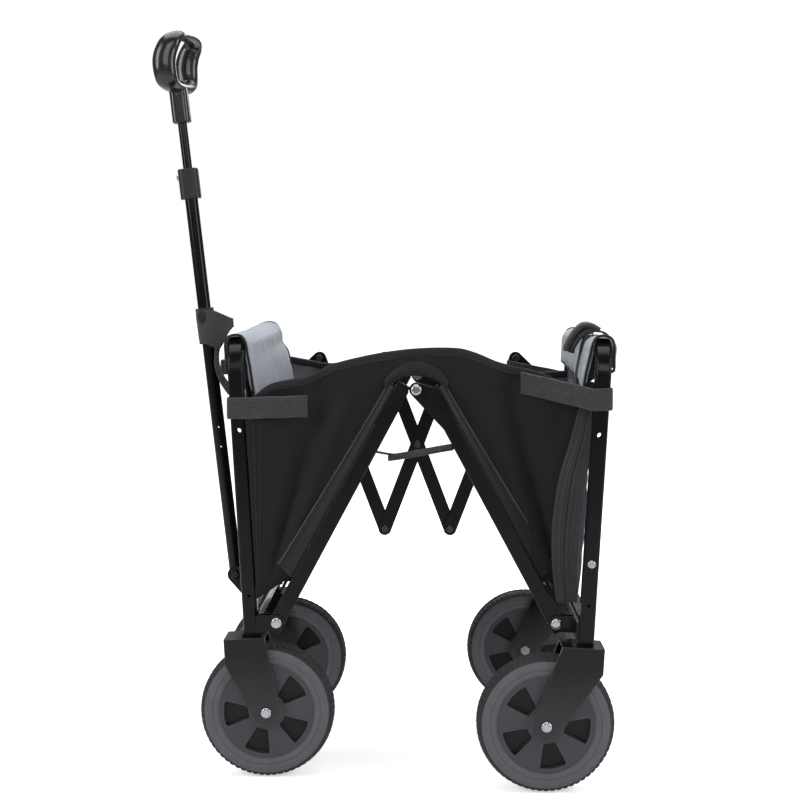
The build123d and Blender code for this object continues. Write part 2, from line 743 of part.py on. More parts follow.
def lock_collar():
    """The collar at the top of the outer pole. It guides the inner tube and holds the lock button."""
    low = COLLAR_AT - COLLAR_H / 2
    with BuildPart() as made:
        with BuildSketch(handle_plane(low)):
            RectangleRounded(2 * COLLAR_R, 2 * COLLAR_R - COLLAR_FLAT, COLLAR_CORNER)
        extrude(amount=COLLAR_H)
        fillet(made.faces().sort_by(Axis.Z)[-1].edges(), MOULD_FILLET)
        with BuildSketch(handle_plane(low)):
            Circle(HANDLE_R)
        extrude(amount=COLLAR_H / 2, mode=Mode.SUBTRACT)
        with BuildSketch(handle_plane(low)):
            Circle(UPPER_R + FIT)
        extrude(amount=COLLAR_H, mode=Mode.SUBTRACT)
        with BuildSketch(button_plane()):
            Circle(BUTTON_R + FIT)
        extrude(amount=2 * COLLAR_R, mode=Mode.SUBTRACT)
    return made.part


def button_plane():
    """Square to the lock button: z points out of the collar, away from the wagon."""
    pole = handle_plane(COLLAR_AT + BUTTON_UP)
    return Plane(origin=pole.origin, x_dir=(0, 1, 0), z_dir=-pole.x_dir)


def lock_button():
    """The push button that frees the inner tube."""
    with BuildPart() as made:
        with BuildSketch(button_plane().offset(UPPER_R + BUTTON_CLEAR)):
            Circle(BUTTON_R)
        extrude(amount=COLLAR_R + BUTTON_STANDS - UPPER_R - BUTTON_CLEAR)
        fillet(made.edges().sort_by(Axis(button_plane().origin, button_plane().z_dir))[-1], BUTTON_FILLET)
    return made.part


def handle_upper_tube():
    """The inner tube that slides in the pole and carries the grip."""
    with BuildPart() as made:
        with BuildSketch(handle_plane(COLLAR_AT - UPPER_INSIDE)):
            Circle(UPPER_R)
            Circle(UPPER_R - UPPER_WALL, mode=Mode.SUBTRACT)
        extrude(amount=NECK_AT - COLLAR_AT + UPPER_INSIDE)
    return made.part


def neck_collar():
    """The moulded socket between the inner tube and the grip."""
    with BuildPart() as made:
        with BuildSketch(handle_plane(NECK_AT - NECK_H / 2)):
            RectangleRounded(2 * NECK_R, 2 * NECK_R - NECK_FLAT, NECK_CORNER)
        extrude(amount=NECK_H)
        fillet(made.faces().sort_by(Axis.Z)[0].edges(), MOULD_FILLET)
        with BuildSketch(handle_plane(NECK_AT - NECK_H / 2)):
            Circle(UPPER_R)
        extrude(amount=NECK_H / 2, mode=Mode.SUBTRACT)
    return made.part


def grip():
    """The closed loop grip, widest at its top."""
    facing = (cos(HANDLE_LEAN), 0, sin(HANDLE_LEAN))
    loop = Plane(origin=(HANDLE_X, 0, HANDLE_Z), x_dir=(0, 1, 0), z_dir=facing)
    corners = ((0, GRIP_LOW), (GRIP_HALF_LOW, GRIP_LOW), (GRIP_HALF_HIGH, GRIP_HIGH))
    half = list(corners) + [(0, GRIP_HIGH)]
    with BuildPart() as made:
        with BuildLine(loop) as path:
            right = FilletPolyline(*half, radius=GRIP_BEND_R)
            mirror(right, about=Plane(origin=loop.origin, z_dir=(0, 1, 0)))
        with BuildSketch(Plane(origin=handle_plane(GRIP_LOW).origin, z_dir=(0, 1, 0))):
            Circle(GRIP_R)
        sweep(path=path.line, transition=Transition.ROUND)
    return made.part


def handle_bolt():
    """The bolt the pole tilts on."""
    cheek = HANDLE_R + CHEEK_GAP + CHEEK_T
    return bolt(Vector(HANDLE_X, -cheek, HANDLE_Z), (0, -1, 0), 2 * cheek)


save(handle_bracket(), "handle_bracket")
save(handle_lower_tube(), "handle_lower_tube")
save(lock_collar(), "lock_collar")
save(lock_button(), "lock_button")
save(handle_upper_tube(), "handle_upper_tube")
save(neck_collar(), "neck_collar")
save(grip(), "grip")

front_bolts = [pivot_bolt(FRONT, side) for side in (NEAR, FAR)]
save(Compound(children=front_bolts + [handle_bolt()]), "front_frame_bolts")


# ------------------------------------------------------------------- fabric


def pad(end):
    """The padding over a top bar: an arch that hangs down both of its sides."""
    half = HALF_WIDTH[end] - POST / 2 - HOOP_BEND_R
    gap = POST + PAD_SLACK
    with BuildPart() as made:
        with BuildSketch(side_plane(end)):
            with Locations((0, HOOP_H)):
                RectangleRounded(gap + 2 * PAD_T, gap + 2 * PAD_T, PAD_BEND_R)
            with Locations((0, HOOP_H - PAD_DROP / 2)):
                Rectangle(gap + 2 * PAD_T, PAD_DROP)
            with Locations((0, HOOP_H)):
                RectangleRounded(gap, gap, POST_CORNER + PAD_SLACK, mode=Mode.SUBTRACT)
            with Locations((0, HOOP_H - PAD_DROP)):
                Rectangle(gap, 2 * PAD_DROP, mode=Mode.SUBTRACT)
        extrude(amount=half, both=True)
    return made.part


def end_wall(end):
    """The fabric wall between the posts."""
    low = END_WALL_LOW
    high = HOOP_H - PAD_DROP - END_WALL_GAP
    half = HALF_WIDTH[end] - POST / 2 - END_WALL_INSET
    with BuildPart() as made:
        with BuildSketch(face_plane(end, -END_WALL_IN)):
            with Locations((0, (low + high) / 2)):
                Rectangle(2 * half, high - low)
        extrude(amount=CLOTH_T, both=True)
    return made.part


def side_wall(side):
    """A side wall: from post to post above both arms, peaked over the middle hinge."""
    clear = POST / 2 + WALL_CLEAR
    low = frame_point(REAR, -clear, 0, WALL_LOW)
    corner = frame_point(REAR, -clear, 0, WALL_HIGH)
    shoulder = (SHOULDER_X, APEX_Z + SHOULDER_UP)
    under, top = (0, APEX_Z + PEAK_LOW_UP), (0, APEX_Z + PEAK_UP)
    half = [under, (low.X, low.Z), (corner.X, corner.Z), shoulder, top]
    other_half = [(-x, z) for x, z in reversed(half[1:-1])]
    with BuildPart() as made:
        with BuildSketch(world_side(side * CLOTH_Y)):
            with BuildLine():
                Polyline(*half, *other_half, close=True)
            make_face()
        extrude(amount=CLOTH_T / 2, both=True)
    return made.part


def floor_panel(end):
    """The floor cloth on top of a pair of arms, over their whole width."""
    off_tube = ARM_WIDE / 2 + FLOOR_OFF
    with BuildPart() as made:
        with BuildSketch(arm_plane(end, 0)):
            with Locations(((FLOOR_FIRST + FLOOR_LAST) / 2, -off_tube)):
                Rectangle(FLOOR_LAST - FLOOR_FIRST, FLOOR_T)
        extrude(amount=CLOTH_Y - CLOTH_T, both=True)
    return made.part


for end, name in ((REAR, "rear"), (FRONT, "front")):
    save(pad(end), f"{name}_pad")
    save(end_wall(end), f"{name}_end_wall")
    save(floor_panel(end), f"{name}_floor")
for side, name in ((NEAR, "near"), (FAR, "far")):
    save(side_wall(side), f"{name}_wall")
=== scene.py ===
from math import cos, exp, pi, radians, sin, tan

import bpy
from mathutils import Matrix, Vector, noise


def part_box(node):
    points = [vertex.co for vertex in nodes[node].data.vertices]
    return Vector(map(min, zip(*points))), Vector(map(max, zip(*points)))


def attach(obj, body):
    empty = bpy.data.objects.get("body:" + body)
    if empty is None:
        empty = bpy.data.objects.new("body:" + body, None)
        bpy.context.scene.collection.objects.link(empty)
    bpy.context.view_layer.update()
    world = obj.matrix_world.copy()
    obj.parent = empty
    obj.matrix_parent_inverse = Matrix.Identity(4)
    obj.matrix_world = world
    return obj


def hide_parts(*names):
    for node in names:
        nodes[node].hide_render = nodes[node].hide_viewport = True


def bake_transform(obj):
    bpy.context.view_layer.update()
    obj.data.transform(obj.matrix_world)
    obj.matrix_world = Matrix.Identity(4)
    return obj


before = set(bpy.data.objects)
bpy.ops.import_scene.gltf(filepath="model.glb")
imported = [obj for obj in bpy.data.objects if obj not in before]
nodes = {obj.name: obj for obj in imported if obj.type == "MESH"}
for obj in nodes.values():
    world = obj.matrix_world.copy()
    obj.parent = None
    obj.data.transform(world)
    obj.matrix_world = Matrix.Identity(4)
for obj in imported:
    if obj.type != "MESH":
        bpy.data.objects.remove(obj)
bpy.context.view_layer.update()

# ------------------------------------------------------------------ places
NEAR, FAR, REAR, FRONT = -1, 1, 1, -1
SIDE = {NEAR: "near", FAR: "far"}
END = {REAR: "rear", FRONT: "front"}
LEAN = radians(3.2)
FOOT_X, FOOT_Z = 0.218, 0.190
HOOP_UP = 0.382
BAR_HALF = 0.010
PIVOT_X, PIVOT_Z = 0.18256, 0.21001
TUBE_ANGLE = radians(28.17)
APEX_Z = 0.515
CLOTH_Y = 0.1722
REAR_CORNER_Y = 0.197
REAR_POST_Y, FRONT_POST_Y = 0.225, 0.160
HANDLE_X, HANDLE_Z, HANDLE_LEAN = -0.25696, 0.24191, radians(6.4)
WHEEL_Y = {REAR: 0.225, FRONT: 0.160}

# the top edge of a side wall, along x
HEM = {
    NEAR: ((-0.215, 0.503), (-0.193, 0.520), (-0.165, 0.527), (-0.142, 0.531), (-0.112, 0.546), (-0.080, 0.555),
           (-0.040, 0.563), (0.005, 0.568), (0.055, 0.568), (0.078, 0.562), (0.102, 0.552), (0.122, 0.546),
           (0.160, 0.537), (0.190, 0.524), (0.215, 0.510)),
    FAR: ((-0.215, 0.547), (-0.194, 0.544), (-0.160, 0.538), (-0.128, 0.534), (-0.060, 0.543), (0.000, 0.550),
          (0.060, 0.546), (0.120, 0.528), (0.170, 0.520), (0.215, 0.521)),
}


def hem_z(x, side):
    """Height of a side wall's hem at x, smooth through its stations."""
    stations = HEM[side]
    if x <= stations[0][0]:
        return stations[0][1]
    for k, ((x0, z0), (x1, z1)) in enumerate(zip(stations, stations[1:])):
        if x <= x1:
            before = stations[max(k - 1, 0)]
            after = stations[min(k + 2, len(stations) - 1)]
            rise0 = (z1 - before[1]) / (x1 - before[0])
            rise1 = (after[1] - z0) / (after[0] - x0)
            step = x1 - x0
            t = (x - x0) / step
            return ((2 * t**3 - 3 * t**2 + 1) * z0 + (t**3 - 2 * t**2 + t) * step * rise0
                    + (3 * t**2 - 2 * t**3) * z1 + (t**3 - t**2) * step * rise1)
    return stations[-1][1]


def frame_point(end, out, y, up):
    """A point in an end frame: out is away from the middle, up is along the posts."""
    return Vector((end * (FOOT_X + out * cos(LEAN) + up * sin(LEAN)), y, FOOT_Z - out * sin(LEAN) + up * cos(LEAN)))


def arm_point(end, along, off, y):
    """A point by an arm: along it from its foot, and off it towards its frame."""
    x = PIVOT_X - along * sin(TUBE_ANGLE) + off * cos(TUBE_ANGLE)
    return Vector((end * x, y, PIVOT_Z + along * cos(TUBE_ANGLE) + off * sin(TUBE_ANGLE)))


def handle_point(along, out, y):
    """A point by the handle: along it from its base, out is away from the wagon."""
    return Vector((HANDLE_X - along * sin(HANDLE_LEAN) - out * cos(HANDLE_LEAN), y,
                   HANDLE_Z + along * cos(HANDLE_LEAN) - out * sin(HANDLE_LEAN)))


def mix(a, b, t):
    return a + (b - a) * t


def ease(t):
    t = min(max(t, 0.0), 1.0)
    return t * t * (3 - 2 * t)


def ripple(p, size, seed=0.0):
    """Smooth noise in -1..1 with features of the given size."""
    return noise.noise(Vector((p[0] / size + seed, p[1] / size - seed, p[2] / size)))


# --------------------------------------------------------------- materials
class Nodes:
    """Small helper to write a node material."""

    def __init__(self, name):
        self.material = bpy.data.materials.new(name)
        self.material.use_nodes = True
        self.tree = self.material.node_tree
        self.bsdf = self.tree.nodes["Principled BSDF"]

    def add(self, kind, **values):
        node = self.tree.nodes.new(kind)
        for key, value in values.items():
            if key in node.inputs:
                self.put(node.inputs[key], value)
            else:
                setattr(node, key, value)
        return node

    def put(self, socket, value):
        if isinstance(value, bpy.types.NodeSocket):
            self.tree.links.new(value, socket)
        else:
            socket.default_value = value

    def set(self, **values):
        for key, value in values.items():
            self.put(self.bsdf.inputs[key.replace("_", " ")], value)

    def math(self, operation, a, b=0.0, c=0.0):
        node = self.tree.nodes.new("ShaderNodeMath")
        node.operation = operation
        for socket, value in zip(node.inputs, (a, b, c)):
            self.put(socket, value)
        return node.outputs[0]

    def coordinates(self):
        return self.add("ShaderNodeTexCoord").outputs["Object"]

    def split(self):
        return self.add("ShaderNodeSeparateXYZ", Vector=self.coordinates()).outputs

    def noise(self, scale, detail=3.0, rough=0.55):
        return self.add("ShaderNodeTexNoise", Vector=self.coordinates(), Scale=scale, Detail=detail,
                        Roughness=rough).outputs["Fac"]

    def remap(self, value, low, high, to_low, to_high):
        node = self.tree.nodes.new("ShaderNodeMapRange")
        node.clamp = True
        for socket, v in zip(node.inputs, (value, low, high, to_low, to_high)):
            self.put(socket, v)
        return node.outputs["Result"]

    def blend(self, share, a, b):
        node = self.tree.nodes.new("ShaderNodeMix")
        node.data_type = "RGBA"
        self.put(node.inputs[0], share)
        for socket, v in ((node.inputs[6], a), (node.inputs[7], b)):
            self.put(socket, v)
        return node.outputs[2]

    def bump(self, height, strength, distance, normal=None):
        node = self.add("ShaderNodeBump", Height=height, Strength=strength, Distance=distance)
        if normal is not None:
            self.put(node.inputs["Normal"], normal)
        return node.outputs["Normal"]

    def rounded(self, radius):
        node = self.tree.nodes.new("ShaderNodeBevel")
        node.samples = 4
        self.put(node.inputs["Radius"], radius)
        return node.outputs["Normal"]

    def edges(self, normal):
        """1 along sharp edges, 0 on flats."""
        flat = self.add("ShaderNodeNewGeometry").outputs["Normal"]
        node = self.tree.nodes.new("ShaderNodeVectorMath")
        node.operation = "DOT_PRODUCT"
        self.put(node.inputs[0], normal)
        self.put(node.inputs[1], flat)
        return self.remap(node.outputs["Value"], 0.995, 0.9, 0.0, 1.0)


def grey(r, g=None, b=None):
    return (r, r if g is None else g, r if b is None else b, 1.0)


def paint(name, colour, rough, edge):
    """Black powder coat: faint orange peel, smudged gloss, edges worn a little paler."""
    n = Nodes(name)
    normal = n.rounded(0.0009)
    worn = n.math("MULTIPLY", n.edges(normal), n.remap(n.noise(90.0), 0.35, 0.7, 0.2, 1.0))
    n.set(Base_Color=n.blend(worn, colour, edge),
          Roughness=n.remap(n.noise(38.0, 5.0), 0.3, 0.7, rough * 0.75, rough * 1.4),
          Normal=n.bump(n.noise(1500.0, 2.0), 0.10, 0.0003, normal),
          Specular_IOR_Level=0.16, Coat_Weight=0.05, Coat_Roughness=0.08)
    return n.material


def steel(name, colour, rough, dark_inside=0.0):
    """Plated steel with fine scratches. dark_inside makes it black nearer the centre plane than that."""
    n = Nodes(name)
    normal = n.rounded(0.0005)
    base = n.blend(n.remap(n.noise(400.0), 0.3, 0.7, 0.0, 1.0), colour, tuple(c * 0.7 for c in colour[:3]) + (1,))
    if dark_inside:
        away = n.math("ABSOLUTE", n.split()[1])
        base = n.blend(n.math("LESS_THAN", away, dark_inside), base, grey(0.02))
    n.set(Base_Color=base, Metallic=1.0, Roughness=n.remap(n.noise(220.0, 6.0), 0.3, 0.7, rough * 0.6, rough * 1.6),
          Normal=n.bump(n.noise(900.0, 4.0), 0.15, 0.0004, normal))
    return n.material


def moulded(name, colour, rough, grain, edge, coat=0.0):
    """Moulded plastic or rubber with a fine grain and paler edges."""
    n = Nodes(name)
    normal = n.rounded(0.0008)
    cloud = n.remap(n.noise(45.0, 6.0), 0.3, 0.7, 0.0, 1.0)
    base = n.blend(cloud, colour, tuple(c * 1.18 for c in colour[:3]) + (1,))
    n.set(Base_Color=n.blend(n.math("MULTIPLY", n.edges(normal), 0.7), base, edge),
          Roughness=n.remap(n.noise(60.0, 4.0), 0.3, 0.7, rough * 0.85, rough * 1.2),
          Normal=n.bump(n.noise(grain, 3.0), 0.25, 0.0005, normal),
          Specular_IOR_Level=0.3, Coat_Weight=coat, Coat_Roughness=0.12)
    return n.material


def fork_material():
    """Glossy black at the top of a fork, rougher towards the axle, where a painted reflection greys its colour; its
    sharp edges carry a painted highlight.
    """
    n = Nodes("fork_moulded")
    normal = n.rounded(0.0012)
    z = n.split()[2]
    # painted reflection: the colour turns grey towards the axle
    low = n.remap(z, 0.165, 0.085, 0.0, 1.0)
    base = n.blend(low, grey(0.002), grey(0.024, 0.025, 0.027))
    # painted highlight: the sharp edges are coloured paler
    n.set(Base_Color=n.blend(n.math("MULTIPLY", n.edges(normal), 0.55), base, grey(0.16)),
          Roughness=n.math("ADD", n.math("MULTIPLY", low, 0.26), n.remap(n.noise(50.0), 0.3, 0.7, 0.12, 0.22)),
          Normal=n.bump(n.noise(1300.0), 0.10, 0.0004, normal),
          Specular_IOR_Level=0.2, Coat_Weight=0.07, Coat_Roughness=0.1)
    return n.material


def rim_material(end):
    """Grey moulded disc whose sunk sectors are coloured darker as painted shade."""
    n = Nodes(f"rim_moulded_{END[end]}")
    normal = n.rounded(0.0010)
    away = n.math("ABSOLUTE", n.math("SUBTRACT", n.math("ABSOLUTE", n.split()[1]), WHEEL_Y[end]))
    # painted shade: faces nearer the wheel's middle plane, in the sunk sectors, get a much darker colour
    high = n.remap(away, 0.0115, 0.0175, 0.0, 1.0)
    base = n.blend(high, grey(0.0035, 0.0037, 0.0042), grey(0.040, 0.042, 0.047))
    n.set(Base_Color=n.blend(n.math("MULTIPLY", n.edges(normal), 0.6), base, grey(0.19, 0.195, 0.2)),
          Roughness=n.remap(n.noise(80.0, 4.0), 0.3, 0.7, 0.38, 0.52),
          Normal=n.bump(n.noise(1100.0, 3.0), 0.2, 0.0004, normal), Specular_IOR_Level=0.25)
    return n.material


def woven(name, colour, fleck, pitch, rough=0.85, sheen=0.2, depth=0.35, streak=0.0):
    """Plain-weave cloth: crossing threads, slight colour drift, a soft sheen."""
    n = Nodes(name)
    x, y, z = n.split()
    turn = 2 * pi / pitch
    across = n.math("SINE", n.math("MULTIPLY", n.math("ADD", x, n.math("MULTIPLY", y, 0.9)), turn))
    up = n.math("SINE", n.math("MULTIPLY", n.math("ADD", z, n.math("MULTIPLY", y, 0.35)), turn))
    over = n.math("MULTIPLY", across, up)
    threads = n.math("ADD", n.math("MULTIPLY", n.math("ABSOLUTE", across), 0.5), n.math("MULTIPLY", over, 0.5))
    drift = n.remap(n.noise(14.0, 5.0), 0.35, 0.65, 0.0, 1.0)
    base = n.blend(drift, colour, tuple(min(1.0, c * 1.35) for c in colour[:3]) + (1,))
    base = n.blend(n.remap(threads, 0.2, 0.9, 0.0, 0.55), base, fleck)
    n.set(Base_Color=base, Roughness=rough, Sheen_Weight=sheen, Sheen_Roughness=0.45,
          Sheen_Tint=grey(0.7, 0.75, 0.9), Specular_IOR_Level=0.25,
          Normal=n.bump(n.noise(55.0, 4.0), 0.18, 0.003, n.bump(threads, depth, 0.0004)))
    return n.material


def webbing_material(name, colour, fleck):
    """Narrow nylon webbing: close diagonal yarns, satin."""
    n = Nodes(name)
    x, y, z = n.split()
    run = n.math("ADD", x, n.math("MULTIPLY", y, 1.0))
    yarn = n.math("SINE", n.math("MULTIPLY", n.math("ADD", run, z), 2 * pi / 0.0016))
    other = n.math("SINE", n.math("MULTIPLY", n.math("SUBTRACT", run, z), 2 * pi / 0.0016))
    weave = n.math("MAXIMUM", yarn, other)
    n.set(Base_Color=n.blend(n.remap(weave, 0.0, 1.0, 0.0, 0.6), colour, fleck),
          Roughness=n.remap(n.noise(120.0), 0.3, 0.7, 0.55, 0.75), Sheen_Weight=0.15,
          Normal=n.bump(weave, 0.35, 0.0004))
    return n.material


PAINT = paint("black_powder_coat", grey(0.0020, 0.0021, 0.0024), 0.20, grey(0.022))
ARM_PAINT = paint("black_arm_coat", grey(0.0022, 0.0022, 0.0025), 0.24, grey(0.024))
TUBE_PAINT = paint("handle_coat", grey(0.0030), 0.14, grey(0.02))
BRIGHT = steel("bright_plated_steel", grey(0.42, 0.43, 0.46), 0.16)
DARK = steel("dark_plated_steel", grey(0.07), 0.26)
FRAME_STEEL = steel("frame_bolt_steel", grey(0.42, 0.43, 0.46), 0.16, dark_inside=0.05)
GRIP = moulded("glossy_black_grip", grey(0.0045, 0.0045, 0.005), 0.26, 700.0, grey(0.02), coat=0.5)
COLLAR = moulded("satin_collar", grey(0.012, 0.0125, 0.014), 0.36, 900.0, grey(0.05))
TYRE = moulded("tyre_rubber", grey(0.068, 0.070, 0.078), 0.60, 500.0, grey(0.13))
TREAD = moulded("tread_rubber", grey(0.016, 0.0165, 0.018), 0.70, 420.0, grey(0.08))
FORK = fork_material()
RIM = {REAR: rim_material(REAR), FRONT: rim_material(FRONT)}
WALL = woven("black_wall_cloth", grey(0.0040, 0.0041, 0.0054), grey(0.0095, 0.0095, 0.0125), 0.0011, sheen=0.12)
TRIM = woven("black_trim_cloth", grey(0.0085), grey(0.021, 0.021, 0.022), 0.0013, sheen=0.15)
LINER = woven("grey_liner_cloth", grey(0.060, 0.064, 0.074), grey(0.11, 0.115, 0.125), 0.0012)
PAD = woven("pale_pad_cloth", grey(0.25, 0.268, 0.29), grey(0.34, 0.358, 0.38), 0.0012, sheen=0.3, depth=0.45)
BAND = woven("ribbed_band_cloth", grey(0.020, 0.021, 0.023), grey(0.048, 0.050, 0.054), 0.0014, sheen=0.2)
PIPING = woven("black_piping", grey(0.008), grey(0.02), 0.0009)
WEBBING = webbing_material("black_webbing", grey(0.0085), grey(0.023))
THREAD = woven("grey_thread", grey(0.045), grey(0.07), 0.0006)

PAINTED = {
    PAINT: ("rear_hoop", "front_hoop", "rear_crossbar", "front_crossbar", "rear_arm_brackets", "front_arm_brackets",
            "handle_bracket", "caster_sockets"),
    ARM_PAINT: ("rear_arm_near", "rear_arm_far", "front_arm_near", "front_arm_far", "hinge_plates_near",
                "hinge_plates_far", "hinge_tongue_near", "hinge_tongue_far", "lattice_link_rear",
                "lattice_link_front", "lattice_inner_bar_1", "lattice_inner_bar_2", "lattice_inner_bar_3",
                "lattice_outer_bar_1", "lattice_outer_bar_2", "lattice_outer_bar_3"),
    TUBE_PAINT: ("handle_lower_tube", "handle_upper_tube"),
    FRAME_STEEL: ("front_frame_bolts",),
    BRIGHT: ("rear_frame_bolts", "apex_bolt_near", "apex_bolt_far", "rear_axle_bolts",
             "caster_bolts_near", "caster_bolts_far", "lock_button"),
    DARK: ("lattice_rivets_rear", "lattice_rivets_middle", "lattice_rivets_inner", "lattice_rivets_front"),
    COLLAR: ("lock_collar",),
    GRIP: ("neck_collar",),
    FORK: ("rear_forks", "caster_fork_near", "caster_fork_far"),
    RIM[REAR]: ("rim_rear_near", "rim_rear_far"),
    RIM[FRONT]: ("rim_front_near", "rim_front_far"),
}
for finish, names in PAINTED.items():
    for name in names:
        mesh = nodes[name].data
        mesh.materials.clear()
        mesh.materials.append(finish)


# ------------------------------------------------------------ mesh helpers
def build(name, points, faces, material, smooth=True):
    mesh = bpy.data.meshes.new(name)
    mesh.from_pydata([tuple(p) for p in points], [], faces)
    mesh.validate()
    mesh.materials.append(material)
    obj = bpy.data.objects.new(name, mesh)
    bpy.context.scene.collection.objects.link(obj)
    if smooth:
        mesh.shade_smooth()
    return obj


def fix_normals(obj):
    import bmesh
    bm = bmesh.new()
    bm.from_mesh(obj.data)
    bmesh.ops.recalc_face_normals(bm, faces=bm.faces)
    bm.to_mesh(obj.data)
    bm.free()
    return obj


def freeze(obj):
    """Applies the modifiers."""
    graph = bpy.context.evaluated_depsgraph_get()
    graph.update()
    mesh = bpy.data.meshes.new_from_object(obj.evaluated_get(graph), depsgraph=graph)
    obj.modifiers.clear()
    obj.data = mesh
    return obj


def join(name, objs):
    """One object from several, keeping each one's material."""
    points, faces, slots, materials = [], [], [], []
    for o in objs:
        start = len(points)
        points += [v.co.copy() for v in o.data.vertices]
        for m in o.data.materials:
            if m not in materials:
                materials.append(m)
        for p in o.data.polygons:
            faces.append([start + i for i in p.vertices])
            slots.append(materials.index(o.data.materials[p.material_index]))
    made = build(name, points, faces, materials[0])
    for m in materials[1:]:
        made.data.materials.append(m)
    for p, s in zip(made.data.polygons, slots):
        p.material_index = s
    for o in objs:
        bpy.data.objects.remove(o)
    return made


def sheet(name, place, across, down, thick, material):
    """A closed cloth sheet: place(u, v) gives its middle surface."""
    points = [place(i / across, j / down) for j in range(down + 1) for i in range(across + 1)]
    wide = across + 1
    faces = [(j * wide + i, j * wide + i + 1, (j + 1) * wide + i + 1, (j + 1) * wide + i)
             for j in range(down) for i in range(across)]
    obj = fix_normals(build(name, points, faces, material))
    solid = obj.modifiers.new("thick", "SOLIDIFY")
    solid.thickness = thick
    solid.offset = 0
    solid.use_even_offset = False
    return freeze(obj)


def ribbon(name, path, across, wide, thick, material, ribs=0, rib=0.0005):
    """A flat strap swept along a path. across is its width direction, one or one per point."""
    count = len(path)
    across = [Vector(a).normalized() for a in (across if isinstance(across, list) else [across] * count)]
    steps = max(4 * ribs, 4)
    outline = []
    for k in range(steps + 1):
        s = k / steps
        crest = rib * (0.5 - 0.5 * cos(2 * pi * ribs * s)) if ribs else 0.0
        edge = min(1.0, 6.0 * min(s, 1 - s) + 0.35)
        outline.append(((s - 0.5) * wide, thick / 2 * edge + crest))
    outline += [(a, -b) for a, b in reversed(outline)]
    points, faces = [], []
    for i, p in enumerate(path):
        along = (path[min(i + 1, count - 1)] - path[max(i - 1, 0)]).normalized()
        normal = along.cross(across[i]).normalized()
        points += [p + across[i] * a + normal * b for a, b in outline]
    n = len(outline)
    for i in range(count - 1):
        for k in range(n):
            a, b = i * n + k, i * n + (k + 1) % n
            faces.append((a, b, b + n, a + n))
    faces.append(tuple(range(n - 1, -1, -1)))
    faces.append(tuple((count - 1) * n + k for k in range(n)))
    return fix_normals(build(name, points, faces, material))


def cord(name, path, radius, material, sides=8, closed=False, squeeze=1.0, side_axis=(0, 1, 0)):
    """A round or oval cord along a path. radius is a number or one per point."""
    count = len(path)
    radii = radius if isinstance(radius, list) else [radius] * count
    points, faces = [], []
    for i, p in enumerate(path):
        before = path[(i - 1) % count] if closed else path[max(i - 1, 0)]
        after = path[(i + 1) % count] if closed else path[min(i + 1, count - 1)]
        along = (after - before).normalized()
        one = Vector(side_axis)
        one = one - along * one.dot(along)
        if one.length < 0.2:
            one = Vector((0, 0, 1)) - along * along.z
        one.normalize()
        two = along.cross(one)
        for k in range(sides):
            turn = 2 * pi * k / sides
            points.append(p + one * radii[i] * cos(turn) + two * radii[i] * squeeze * sin(turn))
    for i in range(count if closed else count - 1):
        for k in range(sides):
            a, b = i * sides + k, i * sides + (k + 1) % sides
            c, d = ((i + 1) % count) * sides + (k + 1) % sides, ((i + 1) % count) * sides + k
            faces.append((a, b, c, d))
    if not closed:
        faces.append(tuple(range(sides - 1, -1, -1)))
        faces.append(tuple((count - 1) * sides + k for k in range(sides)))
    return fix_normals(build(name, points, faces, material))


def resample(path, step):
    """The path as points a fixed step apart."""
    out, carry = [path[0].copy()], 0.0
    for a, b in zip(path, path[1:]):
        length = (b - a).length
        at = step - carry
        while at <= length and length > 0:
            out.append(mix(a, b, at / length))
            at += step
        carry = (carry + length) % step
    return out


def smooth_path(path, count):
    """A Catmull-Rom curve through the points."""
    path = [Vector(p) for p in path]
    out = []
    for i in range(len(path) - 1):
        a, b = path[i], path[i + 1]
        before = path[i - 1] if i else a * 2 - b
        after = path[i + 2] if i + 2 < len(path) else b * 2 - a
        for k in range(count):
            t = k / count
            out.append(0.5 * (2 * a + (b - before) * t + (2 * before - 5 * a + 4 * b - after) * t * t
                              + (3 * a - before - 3 * b + after) * t ** 3))
    out.append(path[-1])
    return out


def stitches(name, path, lift, material, length=0.0026, gap=0.0016, radius=0.00032):
    """A row of thread stitches that stand a little proud along a path."""
    path = resample(path, 0.0004)
    points, faces = [], []
    period = max(2, round((length + gap) / 0.0004))
    run = round(length / 0.0004)
    for start in range(0, len(path) - run, period):
        a, b = path[start] + lift, path[start + run] + lift
        along = b - a
        if along.length < 1e-6:
            continue
        along.normalize()
        one = along.orthogonal().normalized()
        two = along.cross(one)
        base = len(points)
        points.append(a - lift * 0.8)
        for p in (mix(a, b, 0.25), mix(a, b, 0.75)):
            points += [p + one * radius, p + two * radius, p - one * radius, p - two * radius]
        points.append(b - lift * 0.8)
        for k in range(4):
            nxt = (k + 1) % 4
            faces.append((base, base + 1 + nxt, base + 1 + k))
            faces.append((base + 1 + k, base + 1 + nxt, base + 5 + nxt, base + 5 + k))
            faces.append((base + 5 + k, base + 5 + nxt, base + 9))
    return fix_normals(build(name, points, faces, material))


SHIFT = Vector((0.0481, 0.0, 0.0))


def settle(obj, body=None, between=None, replaces=()):
    """Moves a finished piece from the wagon's middle to the frame's origin, and hangs it on its body. Given between, it
    only bakes the piece's place in and hangs it on nothing; the bodies and points in between are not used.
    """
    obj.data.transform(Matrix.Translation(SHIFT))
    obj.data.update()
    if between:
        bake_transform(obj)
    else:
        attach(obj, body)
    if replaces:
        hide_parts(*replaces)
    return obj


# -------------------------------------------------------------- side walls
def post_edge(end, side, s):
    """The edge of a side wall by its post, s from 0 at its foot to 1 at its top."""
    up = mix(0.047, 0.322, s)
    if end == FRONT:
        return frame_point(end, -BAR_HALF - 0.0005, side * CLOTH_Y, up)
    bow = mix(-0.012, 0.004, ease(s)) - 0.010 * sin(pi * s)
    return frame_point(end, bow, side * mix(0.188, REAR_CORNER_Y, s), up)


def sleeve_width(along):
    return mix(0.0090, 0.0255, max(0.0, (0.345 - along) / 0.30) ** 1.3)


